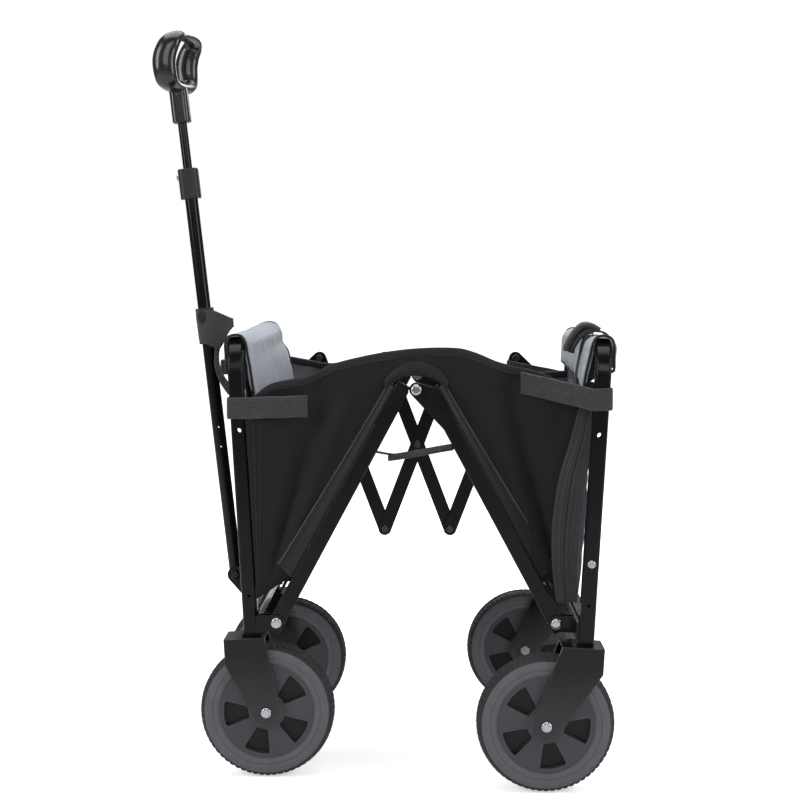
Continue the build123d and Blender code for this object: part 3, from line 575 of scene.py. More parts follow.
def arm_edge(end, side, s):
    """The edge of a side wall by its arm, s from 0 at its foot to 1 at the hem."""
    top = Vector((end * 0.050, side * CLOTH_Y, hem_z(end * 0.050, side)))
    turn = 0.90
    if s < turn:
        t = s / turn
        return arm_point(end, mix(0.052, 0.345, t), 0.0115 + 0.4 * sleeve_width(0.345) * (1 - t), side * CLOTH_Y)
    return mix(arm_point(end, 0.345, 0.0115, side * CLOTH_Y), top, (s - turn) / (1 - turn))


def wall_point(end, side, u, v, lift=0.0):
    """A side panel: u from its post to its arm, v from its foot to the hem."""
    a, b = post_edge(end, side, v), arm_edge(end, side, v)
    p = mix(a, b, u)
    crest = ease((v - 0.55) / 0.45)
    top_a, top_b = post_edge(end, side, 1.0), arm_edge(end, side, 1.0)
    flat_top = mix(top_a, top_b, u)
    p.z += crest * (hem_z(flat_top.x, side) - flat_top.z)
    inside = sin(pi * u) ** mix(0.8, 2.2, ease(u)) * ease(v * 3)
    seed = 3.7 * end + 1.9 * side
    fold = 0.010 * exp(-((u - 0.42 - 0.12 * v) / 0.10) ** 2) - 0.006 * exp(-((u - 0.68 - 0.05 * v) / 0.09) ** 2)
    fold += 0.0035 * ripple((u * 0.10, v * 0.30, 0), 0.055, seed)
    fold += 0.0012 * ripple((u * 0.12, v * 0.25, 0), 0.016, seed)
    p.y -= side * inside * (0.006 + fold + lift)
    return p


def line_inside(cloth, side):
    """Gives a wall's inner face the grey lining."""
    cloth.data.materials.append(LINER)
    for face in cloth.data.polygons:
        if face.normal.y * side < -0.3:
            face.material_index = 1


def side_panel(end, side):
    label = f"{END[end]}_{SIDE[side]}"
    cloth = sheet(f"cloth_{label}", lambda u, v: wall_point(end, side, u, v), 44, 64, 0.0014, WALL)
    line_inside(cloth, side)
    rows = [0.035 + 0.965 * k / 60 for k in range(61)]
    hem_path = [wall_point(end, side, u, 1.0) + Vector((0, side * 0.0006, -0.0052)) for u in rows]
    hem = ribbon(f"hem_{label}", hem_path, (0, 0, 1), 0.0112, 0.0036, TRIM)
    seams = [stitches(f"s_{label}", [wall_point(end, side, u, 1.0) + Vector((0, 0, -0.0094)) for u in rows],
                      Vector((0, side * 0.0024, 0)), THREAD)]
    parts = [cloth, hem] + seams
    if end == FRONT:
        run = [wall_point(end, side, 0.055, 0.05 + 0.85 * k / 50) + Vector((0, side * 0.0004, 0)) for k in range(51)]
        parts.append(cord(f"seam_{label}", run, 0.0011, TRIM, 6))
        run2 = [wall_point(end, side, 0.095, 0.05 + 0.85 * k / 50) for k in range(51)]
        parts.append(stitches(f"seam2_{label}", run2, Vector((0, side * 0.0011, 0)), THREAD))
    panel = join(f"side_panel_{label}", parts)
    if end == REAR:
        bodies = (f"rear_arm_{SIDE[side]}", "rear_frame")
        holds = (f"{SIDE[side]}_wall",)
    else:
        # both front arms move alike, and only the near one is joined to the front frame
        bodies = ("front_arm_near", "front_frame") if side == NEAR else ("front_arm_near", "front_frame")
        holds = ()
    start = arm_point(end, 0.20, 0.016, side * CLOTH_Y)
    finish = arm_point(end, 0.20, 0.100, side * CLOTH_Y)
    settle(panel, between=(*bodies, start, finish), replaces=holds)


def sleeve(end, side):
    """The doubled cloth that laps the arm, piped along its free edge."""
    label = f"{END[end]}_{SIDE[side]}"

    def place(u, v):
        along = mix(0.060, 0.344, v)
        wide = sleeve_width(along)
        lap = 0.0120 * (1 - ease(u / 0.75)) + 0.0012 * sin(pi * u)
        lap += 0.0008 * ripple((u * 0.03, v * 0.4, 0), 0.02, 2.3 * end + side)
        p = arm_point(end, along, 0.0096 + wide * u, side * (CLOTH_Y + 0.0022 + lap))
        if v < 0.06:
            p += (arm_point(end, 0.002, 0.0, 0) - arm_point(end, 0, 0.0, 0)) * (u * 3.0 * (1 - v / 0.06))
        return p

    cloth = sheet(f"sleeve_{label}", place, 8, 90, 0.0016, TRIM)
    edge = [place(1.0, k / 90) + Vector((0, side * 0.0007, 0)) for k in range(91)]
    parts = [cloth, cord(f"edge_{label}", edge, 0.0012, THREAD, 6)]
    for share in (0.62, 0.80):
        run = [place(share, k / 90) for k in range(91)]
        parts.append(stitches(f"st_{label}_{share}", run, Vector((0, side * 0.0011, 0)), THREAD))
    settle(join(f"arm_sleeve_{label}", parts), body=f"{END[end]}_arm_{SIDE[side]}")


def crown(side):
    """The middle of the side wall over the hinge: a stitched arch, the cloth above it and the hem."""
    label = SIDE[side]

    def arch_low(x):
        return APEX_Z + 0.0185 - 0.5 * x * x / 0.05 - 0.008 * ease((abs(x) - 0.03) / 0.02)

    def place(u, v):
        x = mix(-0.052, 0.052, u)
        low = arch_low(x)
        z = mix(low, hem_z(x, side), v)
        p = Vector((x, side * CLOTH_Y, z))
        swell = 0.0034 * sin(pi * min(1.0, v * 1.2)) + 0.0010 * ripple((x, z, 0), 0.018, 5.1 + side)
        p.y += side * (swell * sin(pi * u) ** 2 - 0.0004)
        return p

    cloth = sheet(f"crown_cloth_{label}", place, 48, 22, 0.0016, WALL)
    line_inside(cloth, side)
    rows = [k / 60 for k in range(61)]
    hem = ribbon(f"crown_hem_{label}", [place(u, 1.0) + Vector((0, side * 0.0006, -0.0052)) for u in rows],
                 (0, 0, 1), 0.0112, 0.0036, TRIM)
    parts = [cloth, hem]
    parts.append(stitches(f"ch_{label}", [place(u, 1.0) + Vector((0, 0, -0.0094)) for u in rows],
                          Vector((0, side * 0.0026, 0)), THREAD))

    def band(u, v):
        x = mix(-0.041, 0.041, u)
        reach = 0.0195
        p = Vector((x, side * (CLOTH_Y + 0.0026), arch_low(x) - 0.001 + reach * v * (1 - 0.25 * abs(2 * u - 1))))
        p.y += side * 0.0014 * sin(pi * v)
        return p

    parts.append(sheet(f"arch_{label}", band, 40, 8, 0.0018, TRIM))
    for share in (0.18, 0.40, 0.62, 0.84):
        parts.append(stitches(f"ar_{label}_{share}", [band(u, share) for u in rows],
                              Vector((0, side * 0.0013, 0)), THREAD))
    start, finish = (-0.034, 0, APEX_Z), (0.034, 0, APEX_Z)
    arms = (f"front_arm_{label}", f"rear_arm_{label}")
    settle(join(f"wall_crown_{label}", parts), between=(*arms, start, finish),
           replaces=(f"{label}_wall",))


def corner_band(side):
    """The zipped band down a rear corner, bowed away from its post, with its raised seams."""
    label = SIDE[side]
    ridges = ((0.10, 0.0007), (0.30, 0.0009), (0.50, -0.0012), (0.58, 0.0013), (0.76, 0.0009), (0.93, 0.0008))

    def place(u, v):
        inner = post_edge(REAR, side, v)
        wide = mix(0.018, 0.034, sin(pi * min(1.0, 0.15 + 0.75 * v)))
        p = inner + Vector((-wide * (1 - u) + 0.002 * u, 0, 0))
        rise = sum(h * exp(-((u - at) / 0.035) ** 2) for at, h in ridges)
        p.y += side * (0.0026 + rise + 0.002 * sin(pi * u))
        p.x += 0.0022 * ripple((0, v * 0.3, 0), 0.05, 8.0 + side) * v
        return p

    cloth = sheet(f"band_{label}", place, 60, 70, 0.0016, BAND)
    parts = [cloth]
    for share in (0.20, 0.40, 0.68, 0.86):
        run = [place(share, k / 70) for k in range(71)]
        parts.append(stitches(f"bs_{label}_{share}", run, Vector((0, side * 0.0011, 0)), THREAD))
    teeth = resample([place(0.54, k / 70) for k in range(2, 69)], 0.0021)
    for n, p in enumerate(teeth):
        a = p + Vector((-0.0016, side * 0.0012, 0))
        b = p + Vector((0.0016, side * 0.0012, 0))
        parts.append(cord(f"tooth_{label}_{n}", [a, b], 0.0005, DARK, 5))
    settle(join(f"corner_band_{label}", parts), body="rear_frame")


for side in (NEAR, FAR):
    for end in (REAR, FRONT):
        side_panel(end, side)
        sleeve(end, side)
    crown(side)
    corner_band(side)


# ------------------------------------------------- end walls and floor
def end_wall(end):
    """The slack grey lining between the posts."""
    half = (REAR_POST_Y if end == REAR else FRONT_POST_Y) - 0.032

    def place(u, v):
        y = mix(-half, half, u)
        sag = 0.010 * sin(pi * u) * sin(pi * v) + 0.0045 * ripple((y, v * 0.3, 0), 0.07, 11.0 * end)
        sag += 0.0014 * ripple((y, v * 0.3, 0), 0.02, 4.0 * end)
        return frame_point(end, -0.0045 + sag - 0.004, y, mix(0.046, 0.334, v))

    wall = sheet(f"lining_{END[end]}", place, 70, 60, 0.0014, LINER)
    parts = [wall]
    for share in (0.06, 0.5, 0.94):
        run = [place(share, k / 60) for k in range(61)]
        parts.append(cord(f"ls_{end}_{share}", run, 0.0010, LINER, 6))
    for share in (0.03, 0.97):
        run = [place(k / 60, share) for k in range(61)]
        parts.append(cord(f"lh_{end}_{share}", run, 0.0012, PIPING, 6))
    settle(join(f"{END[end]}_lining", parts), body=f"{END[end]}_frame",
           replaces=(f"{END[end]}_end_wall",))


def floor_pad(end):
    """Half of the padded floor, lying on its pair of arms, quilted across."""
    half = CLOTH_Y - 0.006

    def place(face):
        def point(u, v):
            y = mix(-half, half, u)
            along = mix(0.036, 0.339, v)
            edge = min(1.0, 9 * min(u, 1 - u), 9 * min(v, 1 - v))
            swell = 0.0030 * abs(sin(3 * pi * v)) ** 0.5 * edge + 0.0012 * edge
            swell += 0.0005 * ripple((y, along, 0), 0.03, 6.0 * end)
            return arm_point(end, along, 0.0125 + 0.0012 + face * swell, y)
        return point

    upper = sheet(f"floor_top_{end}", place(1), 60, 60, 0.0008, WALL)
    lower = sheet(f"floor_low_{end}", place(-0.25), 30, 30, 0.0008, WALL)
    parts = [upper, lower]
    rim = [place(0)(u, v) for u, v in [(k / 40, 0) for k in range(41)] + [(1, k / 40) for k in range(1, 41)]
           + [(1 - k / 40, 1) for k in range(1, 41)] + [(0, 1 - k / 40) for k in range(1, 40)]]
    parts.append(cord(f"floor_rim_{end}", rim, 0.0021, PIPING, 6, closed=True))
    settle(join(f"{END[end]}_floor_pad", parts), body=f"{END[end]}_arm_near",
           replaces=(f"{END[end]}_floor",))


for end in (REAR, FRONT):
    end_wall(end)
    floor_pad(end)


# -------------------------------------------------------------------- pads
PAD_EDGE = {
    (FRONT, 0): ((0.0112, -0.018), (0.0110, -0.010), (0.0108, 0.002), (0.0075, 0.0088), (0.000, 0.0112),
                 (-0.0075, 0.0092), (-0.0115, 0.002), (-0.0130, -0.010), (-0.0145, -0.022), (-0.0160, -0.036),
                 (-0.0175, -0.055), (-0.0185, -0.078)),
    (FRONT, 1): ((0.0127, -0.032), (0.0112, -0.012), (0.0104, 0.004), (0.005, 0.0130), (-0.008, 0.0190),
                 (-0.020, 0.0210), (-0.029, 0.0165), (-0.033, 0.006), (-0.034, -0.008), (-0.042, -0.022),
                 (-0.046, -0.050), (-0.045, -0.084)),
    (REAR, 0): ((0.0130, -0.031), (0.0120, -0.014), (0.0116, 0.001), (0.0080, 0.0094), (0.000, 0.0120),
                (-0.0080, 0.0098), (-0.0118, 0.002), (-0.0140, -0.010), (-0.0160, -0.022), (-0.0178, -0.034),
                (-0.0190, -0.046), (-0.0195, -0.057)),
    (REAR, 1): ((0.0130, -0.031), (0.0120, -0.014), (0.0116, 0.001), (0.0080, 0.0094), (0.000, 0.0120),
                (-0.0075, 0.0098), (-0.0114, 0.002), (-0.0118, -0.008), (-0.0120, -0.016), (-0.0120, -0.024),
                (-0.0118, -0.032), (-0.0116, -0.040)),
}


def pad_profile(end, share):
    """The pad's outline in the side view as (out, up), from the tip of its outer flap over the bar to its inner tip."""
    points = [(mix(a[0], b[0], share ** 1.2), mix(a[1], b[1], share ** 1.2))
              for a, b in zip(PAD_EDGE[end, 0], PAD_EDGE[end, 1])]
    return smooth_path([(a, 0, b) for a, b in points], 5)


def pad(end):
    """The padded wrap over a top bar, swelled by a pressure simulation."""
    post_y = REAR_POST_Y if end == REAR else FRONT_POST_Y
    half = post_y - 0.012
    columns = 64
    rows = []
    for i in range(columns + 1):
        share = i / columns
        y = mix(-half, half, share)
        pull = 1 - 0.06 * sin(pi * share)
        rows.append([Vector((p.x, y, p.z * pull)) for p in pad_profile(end, share)])
    across = len(rows[0])
    points, faces = [], []
    thick = 0.0038
    for shell in (0, 1):
        for row in rows:
            for k, p in enumerate(row):
                ahead, back = row[min(k + 1, across - 1)], row[max(k - 1, 0)]
                along = (ahead - back).normalized()
                normal = Vector((-along.z, 0, along.x))
                points.append(p + normal * (0 if shell == 0 else -thick))
    size = (columns + 1) * across
    for i in range(columns):
        for k in range(across - 1):
            a, b = i * across + k, (i + 1) * across + k
            faces += [(a, a + 1, b + 1, b), (size + a, size + b, size + b + 1, size + a + 1)]
    for i in range(columns):
        for k in (0, across - 1):
            a, b = i * across + k, (i + 1) * across + k
            faces.append((a, b, size + b, size + a))
    for i in (0, columns):
        for k in range(across - 1):
            a = i * across + k
            faces.append((a, a + 1, size + a + 1, size + a))
    body = fix_normals(build(f"pad_{END[end]}", points, faces, PAD))
    remesh = body.modifiers.new("voxels", "REMESH")
    remesh.mode = "VOXEL"
    remesh.voxel_size = 0.0030
    freeze(body)
    body.data.materials.clear()
    body.data.materials.append(PAD)
    rest = [v.co.copy() for v in body.data.vertices]
    cloth = body.modifiers.new("puff", "CLOTH")
    cloth.settings.use_pressure = True
    cloth.settings.uniform_pressure_force = 4.0
    cloth.settings.effector_weights.gravity = 0.0
    cloth.settings.quality = 5
    cloth.point_cache.frame_start = 1
    cloth.point_cache.frame_end = 20
    for step in range(1, 21):
        bpy.context.scene.frame_set(step)
    freeze(body)
    bpy.context.scene.frame_set(1)
    for v, start in zip(body.data.vertices, rest):
        move = v.co - start
        if move.length > 0.0028:
            v.co = start + move.normalized() * 0.0028
    bar = BAR_HALF + 0.0008
    for v in body.data.vertices:
        x, z = v.co.x, v.co.z
        wrinkle = 0.0013 * ripple((v.co.y + 0.3 * z, z * 0.35, x * 0.35), 0.014, 21.0 * end)
        wrinkle += 0.0022 * ripple((v.co.y - 0.4 * z, z * 0.2, x * 0.2), 0.035, 13.0 * end)
        outwards = Vector((x, 0, max(z, 0.0))).normalized()
        v.co += outwards * wrinkle
        if abs(v.co.x) < bar and v.co.z < bar:
            if v.co.z > bar * 0.6:
                v.co.z = bar
            else:
                v.co.x = bar if v.co.x > 0 else -bar
    fine = body.modifiers.new("fine", "SUBSURF")
    fine.levels = fine.render_levels = 1
    freeze(body)
    body.data.shade_smooth()

    def place(p):
        return frame_point(end, p.x, p.y, HOOP_UP + p.z)

    parts = [body]
    for edge_row, tag in ((rows[0], "a"), (rows[-1], "b")):
        loop = []
        for k, p in enumerate(edge_row):
            ahead, back = edge_row[min(k + 1, across - 1)], edge_row[max(k - 1, 0)]
            along = (ahead - back).normalized()
            loop.append(p + Vector((along.z, 0, -along.x)) * (thick * 0.6))
        parts.append(cord(f"pipe_{end}_{tag}", loop, 0.0017, PIPING, 8))
    for k, tag in ((0, "c"), (-1, "d")):
        parts.append(cord(f"pipe_{end}_{tag}", [row[k] for row in rows], 0.0022, PIPING, 8))
    # a black sheet across the hollow under the pad near each end: painted shade standing in for the shaded inside of
    # the hood and its dark underside
    for row, tag in ((rows[7], "a"), (rows[-8], "b")):

        def shade_sheet(u, v, row=row):
            k = round(u * (across - 1))
            p = row[k]
            floor_z = mix(row[0].z, row[-1].z, u)
            slack = 0.0030 * ripple((p.x, p.z * 0.4, 0), 0.012, 31.0 * end)
            return Vector((mix(p.x, mix(row[0].x, row[-1].x, u), v), p.y + slack,
                           mix(p.z, max(floor_z, -0.060), v)))

        parts.append(sheet(f"gusset_{end}_{tag}", shade_sheet, 40, 14, 0.0010, PIPING))
    made = join(f"{END[end]}_bar_pad", parts)
    for v in made.data.vertices:
        v.co = place(v.co)
    settle(made, body=f"{END[end]}_frame", replaces=(f"{END[end]}_pad",))


for end in (FRONT, REAR):
    pad(end)


# ------------------------------------------------------------------ straps
STRAP_W = 0.0285
STRAP_T = 0.0018


def corner_strap(end, side):
    """Ribbed webbing that wraps a post and is sewn to the side wall."""
    label = f"{END[end]}_{SIDE[side]}"
    post_y = REAR_POST_Y if end == REAR else FRONT_POST_Y
    up = 0.316 if end == REAR else 0.300
    level = FOOT_Z + up * cos(LEAN)
    mid = FOOT_X + up * sin(LEAN)
    wrap = BAR_HALF + 0.0022
    corner = 0.0030
    loop = [(-0.6, 1), (0.0, 1.02), (0.75, 1), (1.0, 0.75), (1.02, 0.0), (1.0, -0.75), (0.75, -1), (0.0, -1.02)]
    around = [(mid + a * wrap, post_y - b * wrap) for a, b in loop]
    if end == FRONT:
        tail = [(mid - 0.016, post_y + 0.0148), (0.196, 0.1790), (0.172, 0.1795), (0.150, 0.1772), (0.142, 0.1762)]
        lift = 0.0
    elif side == NEAR:
        tail = [(mid - 0.013, post_y + 0.0105), (0.205, 0.2230), (0.184, 0.2050), (0.160, 0.1885), (0.136, 0.1800)]
        lift = 0.0150
    else:
        around = [(mid + a * wrap, post_y + b * wrap) for a, b in loop]
        tail = [(mid - 0.013, post_y - 0.0140), (0.205, 0.2030), (0.184, 0.1970), (0.160, 0.1880), (0.136, 0.1800)]
        lift = 0.0150
    line = around + tail
    path = smooth_path([(end * x, side * y, level) for x, y in line], 8)
    far_x, near_x = abs(tail[-1][0]), mid - 0.012
    for p in path:
        share = min(max((near_x - abs(p.x)) / (near_x - far_x), 0.0), 1.0)
        p.z += (lift + 0.003) * share + 0.0012 * ripple((p.x, 0, 0), 0.03, 3.0 * end)
    parts = [ribbon(f"strap_{label}", path, (0, 0, 1), STRAP_W, STRAP_T, WEBBING, ribs=9, rib=0.0011)]
    last = path[-8:]
    for height in (-0.011, 0.0, 0.011):
        run = [p + Vector((0, 0, height)) for p in last]
        parts.append(stitches(f"x_{label}_{height}", run, Vector((0, side * 0.0016, 0)), THREAD))
    for at in (0.12, 0.9):
        p, q = last[0], last[-1]
        foot = mix(p, q, at)
        run = [foot + Vector((0, 0, mix(-0.012, 0.012, k / 10))) for k in range(11)]
        parts.append(stitches(f"y_{label}_{at}", run, Vector((0, side * 0.0016, 0)), THREAD))
    settle(join(f"corner_strap_{label}", parts), body=f"{END[end]}_frame")


def handle_strap():
    """A hook-and-loop strap wrapped round the pole, pinched to a point behind it, with a loose tail."""
    middle, pole = 0.352, 0.0112
    tip = 0.0366
    around = smooth_path([(0.0118, 0, 0), (0.0090, -0.0085, 0), (0.0, -0.0122, 0), (-0.011, -0.0105, 0),
                          (-0.020, -0.0066, 0), (-0.030, -0.0040, 0), (-tip, -0.0012, 0), (-tip, 0.0012, 0),
                          (-0.030, 0.0044, 0), (-0.020, 0.0070, 0), (-0.011, 0.0105, 0), (0.0, 0.0122, 0),
                          (0.0090, 0.0085, 0), (0.0118, 0, 0)], 8)
    top_edge = ((-tip, 0.0080), (-0.024, 0.0155), (-0.012, 0.0220), (0.012, 0.0270))
    low_edge = ((-tip, -0.0035), (-0.030, -0.0100), (-0.022, -0.0220), (-0.0135, -0.0330), (-0.006, -0.0280),
                (0.012, -0.0180))

    def level(edge, out):
        for (x0, z0), (x1, z1) in zip(edge, edge[1:]):
            if out <= x1:
                return mix(z0, z1, max(0.0, (out - x0) / (x1 - x0)))
        return edge[-1][1]

    def place(u, v):
        p = around[min(round(u * (len(around) - 1)), len(around) - 1)]
        rise = mix(level(low_edge, p.x), level(top_edge, p.x), v)
        wave = 0.0010 * ripple((p.x, rise, p.y), 0.016, 4.4)
        return handle_point(middle + rise, p.x, p.y + wave)

    parts = [sheet("wrap", place, len(around) - 1, 24, 0.0022, WEBBING)]
    for share in (0.06, 0.94):
        edge = [place(k / 100, share) for k in range(101)]
        parts.append(cord(f"wrap_edge_{share}", edge, 0.0014, WEBBING, 6))
    under = [handle_point(middle + 0.002, (pole + 0.0012) * cos(a), (pole + 0.0012) * sin(a))
             for a in [k * 2 * pi / 40 for k in range(41)]]
    lengthwise = (handle_point(1, 0, 0) - handle_point(0, 0, 0)).normalized()
    parts.append(ribbon("wrap_under", under, lengthwise, 0.050, 0.0014, TRIM))
    start = handle_point(middle - 0.028, -0.0135, -0.006)
    tail = smooth_path([start, start + Vector((-0.0012, -0.006, -0.014)), start + Vector((0.001, -0.014, -0.029)),
                        start + Vector((0.009, -0.022, -0.047)), start + Vector((0.021, -0.030, -0.062))], 10)
    turns = []
    for k in range(len(tail)):
        a = 1.1 * k / (len(tail) - 1)
        turns.append(Vector((0.35, cos(a), sin(a) * 0.6)))
    parts.append(ribbon("tail", tail, turns, 0.014, 0.0022, WEBBING, ribs=3, rib=0.0004))
    settle(join("handle_strap", parts), body="handle_pole")


def rounded_block(name, size, corner, material):
    """A softened block centred on the origin, its faces slightly crowned."""
    import bmesh
    bm = bmesh.new()
    bmesh.ops.create_cube(bm, size=1.0)
    for v in bm.verts:
        v.co = Vector((v.co.x * size[0], v.co.y * size[1], v.co.z * size[2]))
    bmesh.ops.bevel(bm, geom=list(bm.edges), offset=corner, segments=3, profile=0.6, affect="EDGES")
    mesh = bpy.data.meshes.new(name)
    bm.to_mesh(mesh)
    bm.free()
    mesh.materials.append(material)
    obj = bpy.data.objects.new(name, mesh)
    bpy.context.scene.collection.objects.link(obj)
    mesh.shade_smooth()
    return obj


def pad_strap():
    """The strap over the rear pad, its ribbed folded tab on the inner side, and its keeper."""
    y = -0.128
    shell = [(p.x, p.z) for p in pad_profile(REAR, 0.15)]
    line = []
    for k, (out, up) in enumerate(shell):
        ahead, back = shell[min(k + 1, len(shell) - 1)], shell[max(k - 1, 0)]
        along = Vector((ahead[0] - back[0], 0, ahead[1] - back[1])).normalized()
        off = 0.0062
        line.append(frame_point(REAR, out + along.z * off, y, HOOP_UP + up - along.x * off))
    parts = [ribbon("pad_strap", line, (0, 1, 0), 0.030, 0.0020, WEBBING, ribs=8, rib=0.0005)]
    outer = ((0.002, 0.0195), (-0.0085, 0.0245), (-0.0200, 0.0250), (-0.0305, 0.0150), (-0.0390, -0.0010),
             (-0.0400, -0.0105))
    inner = ((-0.0060, 0.0175), (-0.0150, 0.0170), (-0.0235, 0.0090), (-0.0315, -0.0040), (-0.0330, -0.0125))
    for number, points in enumerate((outer, inner)):
        layer = smooth_path([tuple(frame_point(REAR, out, y + 0.002 * number, HOOP_UP + up)) for out, up in points], 8)
        parts.append(ribbon(f"pad_tab_{number}", layer, (0.05, 1, 0), 0.032, 0.0064, WEBBING, ribs=8, rib=0.0006))
    keeper = smooth_path([tuple(frame_point(REAR, out, y + 0.022, HOOP_UP + up)) for out, up in
                          ((-0.012, 0.020), (-0.022, 0.015), (-0.029, 0.004), (-0.033, -0.006))], 6)
    parts.append(ribbon("pad_keeper", keeper, (0, 1, 0), 0.014, 0.0105, COLLAR, ribs=3, rib=0.0006))
    settle(join("rear_pad_strap", parts), body="rear_frame")
    block = rounded_block("front_pad_keeper", (0.0095, 0.022, 0.020), 0.0022, COLLAR)
    at = frame_point(FRONT, 0.0215, -0.098, HOOP_UP - 0.030)
    block.data.transform(Matrix.Translation(at))
    band = [frame_point(FRONT, 0.0185, y0, HOOP_UP - 0.030) for y0 in (-0.112, -0.10, -0.085, -0.07)]
    settle(join("front_pad_tab", [block, ribbon("tab_band", band, (0, 0, 1), 0.016, 0.002, WEBBING, ribs=4)]),
           body="front_frame")


def pull_strap():
    """The cord and doubled webbing pull between the arms, under the floor."""
    y = -0.160
    level = 0.430
    thin = smooth_path([(-0.056, y, level + 0.002), (-0.040, y, level - 0.001), (-0.020, y, level - 0.003),
                        (0.0, y, level + 0.000), (0.030, y, level + 0.004), (0.058, y, level + 0.007)], 8)
    thick = smooth_path([(-0.037, y - 0.002, level - 0.0065), (-0.020, y - 0.002, level - 0.004),
                         (0.006, y - 0.002, level + 0.0005), (0.030, y - 0.002, level + 0.005),
                         (0.048, y - 0.002, level + 0.008)], 8)
    parts = [cord("pull_cord", thin, 0.0016, WEBBING, 8),
             ribbon("pull_web", thick, (0, 0.75, 0.6), 0.011, 0.0042, WEBBING, ribs=3, rib=0.0004)]
    settle(join("pull_strap", parts),
           between=("front_arm_near", "rear_arm_near", (-0.050, y, level), (0.050, y, level)))


for end in (REAR, FRONT):
    for side in (NEAR, FAR):
        corner_strap(end, side)
handle_strap()
pad_strap()
pull_strap()


# -------------------------------------------------------------------- grip
def grip():
    """The closed loop grip: two hand bars that bow forward, joined by a yoke below and a bridge above."""
    half = ((0.6880, 0.000, 0.0000, 0.0120), (0.6882, 0.016, 0.0000, 0.0125), (0.6900, 0.031, 0.0000, 0.0135),
            (0.6960, 0.0410, 0.0005, 0.0150), (0.7080, 0.0450, 0.0005, 0.0158), (0.7220, 0.0455, -0.0005, 0.0160),
            (0.7350, 0.0450, -0.0050, 0.0152), (0.7460, 0.0430, -0.0120, 0.0138), (0.7530, 0.0350, -0.0170, 0.0120),
            (0.7560, 0.018, -0.0185, 0.0105), (0.7565, 0.000, -0.0185, 0.0100))
    ring = list(half) + [(a, -y, o, r) for a, y, o, r in reversed(half[1:-1])]
    fine = []
    count = len(ring)
    for i in range(count):
        p0, p1, p2, p3 = (Vector(ring[(i + k) % count]) for k in (-1, 0, 1, 2))
        for k in range(10):
            t = k / 10
            fine.append(0.5 * (2 * p1 + (p2 - p0) * t + (2 * p0 - 5 * p1 + 4 * p2 - p3) * t * t
                               + (3 * p1 - p0 - 3 * p2 + p3) * t ** 3))
    yaw = tan(radians(11))
    path = [handle_point(p[0], p[2] - p[1] * yaw, p[1]) for p in fine]
    loop = cord("grip_ring", path, [p[3] for p in fine], GRIP, 28, closed=True, squeeze=0.66, side_axis=(1, 0, 0.1))
    yoke_path = [handle_point(a, 0, 0) for a in (0.676, 0.680, 0.684, 0.689, 0.694)]
    yoke = cord("grip_yoke", yoke_path, [0.0118, 0.0128, 0.0126, 0.0110, 0.0080], GRIP, 28)
    settle(join("grip_loop", [loop, yoke]), body="handle_slider", replaces=("grip",))


grip()


# ------------------------------------------------------------------- tyres
def tyre(end, side):
    """A solid tyre: stepped sidewalls and a blocked tread with notched shoulders."""
    label = f"{END[end]}_{SIDE[side]}"
    low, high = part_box(f"tyre_{label}")
    centre = (low + high) / 2 - SHIFT
    one_side = ((0.0190, 0.0631), (0.0200, 0.0640), (0.0212, 0.0665), (0.0216, 0.0700), (0.0209, 0.0706),
                (0.0209, 0.0716), (0.0219, 0.0724), (0.0220, 0.0760), (0.0216, 0.0790), (0.0206, 0.0822),
                (0.0186, 0.0848), (0.0160, 0.0868), (0.0110, 0.0881), (0.0052, 0.0888), (0.0040, 0.0868))
    profile = list(one_side) + [(-y, r) for y, r in reversed(one_side)]
    steps, period = 384, 6
    points, faces = [], []
    for i in range(steps):
        a = 2 * pi * i / steps
        for y, r in profile:
            phase = (i + (period // 2 if y < 0 else 0)) % period
            cut = 0.0
            if r > 0.0840 and abs(y) > 0.0095 and phase in (0, 1):
                cut = 0.0012
            elif r > 0.0860 and 0.0045 < abs(y) <= 0.0095 and phase in (3,):
                cut = 0.0012
            rr = r - cut
            points.append(centre + Vector((rr * cos(a), y, rr * sin(a))))
    n = len(profile)
    for i in range(steps):
        for k in range(n):
            b = (i + 1) % steps
            c = (k + 1) % n
            faces.append((i * n + k, i * n + c, b * n + c, b * n + k))
    body = fix_normals(build(f"tyre_body_{label}", points, faces, TYRE))
    body.data.materials.append(TREAD)
    for p in body.data.polygons:
        off = p.center - centre
        if (off.x ** 2 + off.z ** 2) ** 0.5 > 0.0822:
            p.material_index = 1
    body.data.set_sharp_from_angle(angle=radians(32))
    body.name = f"solid_tyre_{label}"
    settle(body, body=f"{END[end]}_wheel_{SIDE[side]}", replaces=(f"tyre_{label}",))


for end in (REAR, FRONT):
    for side in (NEAR, FAR):
        tyre(end, side)


# -------------------------------------------------- the carried-over slots
for name in nodes:
    if not nodes[name].hide_render and not nodes[name].data.materials:
        raise RuntimeError(f"{name} has no finish")

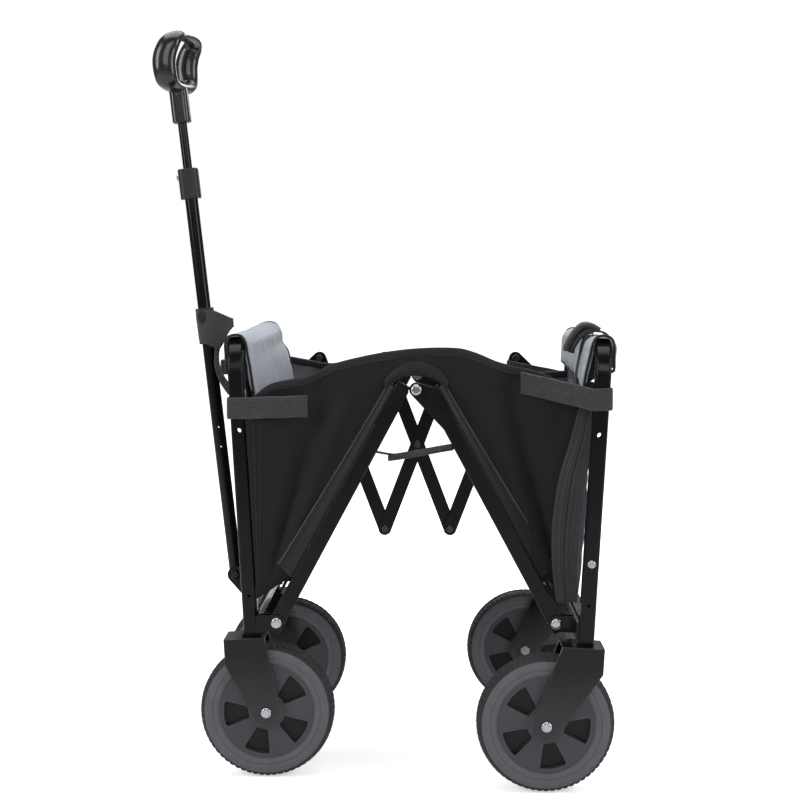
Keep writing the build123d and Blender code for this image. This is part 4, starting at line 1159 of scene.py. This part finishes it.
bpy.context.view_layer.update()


# ------------------------------------------------------------------- stage
def backdrop():
    """A wide pale floor that glows more away from the wagon, so it meets the white studio without a line."""
    reach, around = 30.0, 64
    points = [(0.0, 0.0, 0.0)]
    points += [(reach * cos(2 * pi * k / around), reach * sin(2 * pi * k / around), 0.0) for k in range(around)]
    faces = [(0, 1 + k, 1 + (k + 1) % around) for k in range(around)]
    n = Nodes("pale_paper")
    x, y, _ = n.split()
    away = n.math("SQRT", n.math("ADD", n.math("MULTIPLY", x, x), n.math("MULTIPLY", y, y)))
    glow = n.math("MULTIPLY", n.add("ShaderNodeLightPath").outputs["Is Camera Ray"], n.remap(away, 0.5, 2.0, 0.5, 1.0))
    n.set(Base_Color=n.blend(n.noise(3.0), grey(0.95), grey(0.93)), Roughness=0.9, Specular_IOR_Level=0.1,
          Emission_Color=grey(1.0), Emission_Strength=glow)
    build("floor", points, faces, n.material)


def light(name, place, target, size, power, tint=(1, 1, 1)):
    lamp = bpy.data.lights.new(name, "AREA")
    lamp.shape = "RECTANGLE"
    lamp.size, lamp.size_y = size
    lamp.energy = power
    lamp.color = tint
    obj = bpy.data.objects.new(name, lamp)
    bpy.context.scene.collection.objects.link(obj)
    obj.location = place
    obj.rotation_euler = (Vector(target) - Vector(place)).to_track_quat("-Z", "Y").to_euler()


backdrop()
light("top", (0.0, 0.2, 2.6), (0, 0, 0.4), (2.4, 2.2), 55)
light("left", (-2.2, -1.5, 1.5), (0, 0, 0.45), (1.0, 1.8), 38)
light("right", (2.3, -1.2, 1.3), (0, 0, 0.4), (1.0, 1.8), 30)
light("front", (0.3, -3.4, 1.8), (0, 0, 0.4), (2.0, 1.2), 26)
light("back", (0.2, 2.6, 1.9), (0, 0, 0.4), (2.4, 1.2), 30)

world = bpy.data.worlds.new("studio")
world.use_nodes = True
bpy.context.scene.world = world
bpy.context.scene.view_settings.view_transform = "Standard"
tree = world.node_tree
background = tree.nodes["Background"]
rays = tree.nodes.new("ShaderNodeLightPath")
shade = tree.nodes.new("ShaderNodeMapRange")
for socket, value in zip(list(shade.inputs)[1:5], (0.0, 1.0, 0.26, 1.0)):
    socket.default_value = value
tree.links.new(rays.outputs["Is Camera Ray"], shade.inputs[0])
tree.links.new(shade.outputs[0], background.inputs["Strength"])
background.inputs["Color"].default_value = (1, 1, 1, 1)

camera = bpy.data.cameras.new("camera")
camera.lens = 74.1
camera.sensor_width = 36.0
camera_object = bpy.data.objects.new("camera", camera)
bpy.context.scene.collection.objects.link(camera_object)
camera_object.location = Vector((0.010, -2.318, 0.643)) + SHIFT
pitch, turn = radians(3.8), radians(0.835)
looking = Vector((-sin(turn) * cos(pitch), cos(turn) * cos(pitch), -sin(pitch)))
camera_object.rotation_euler = looking.to_track_quat("-Z", "Y").to_euler()
bpy.context.scene.camera = camera_object
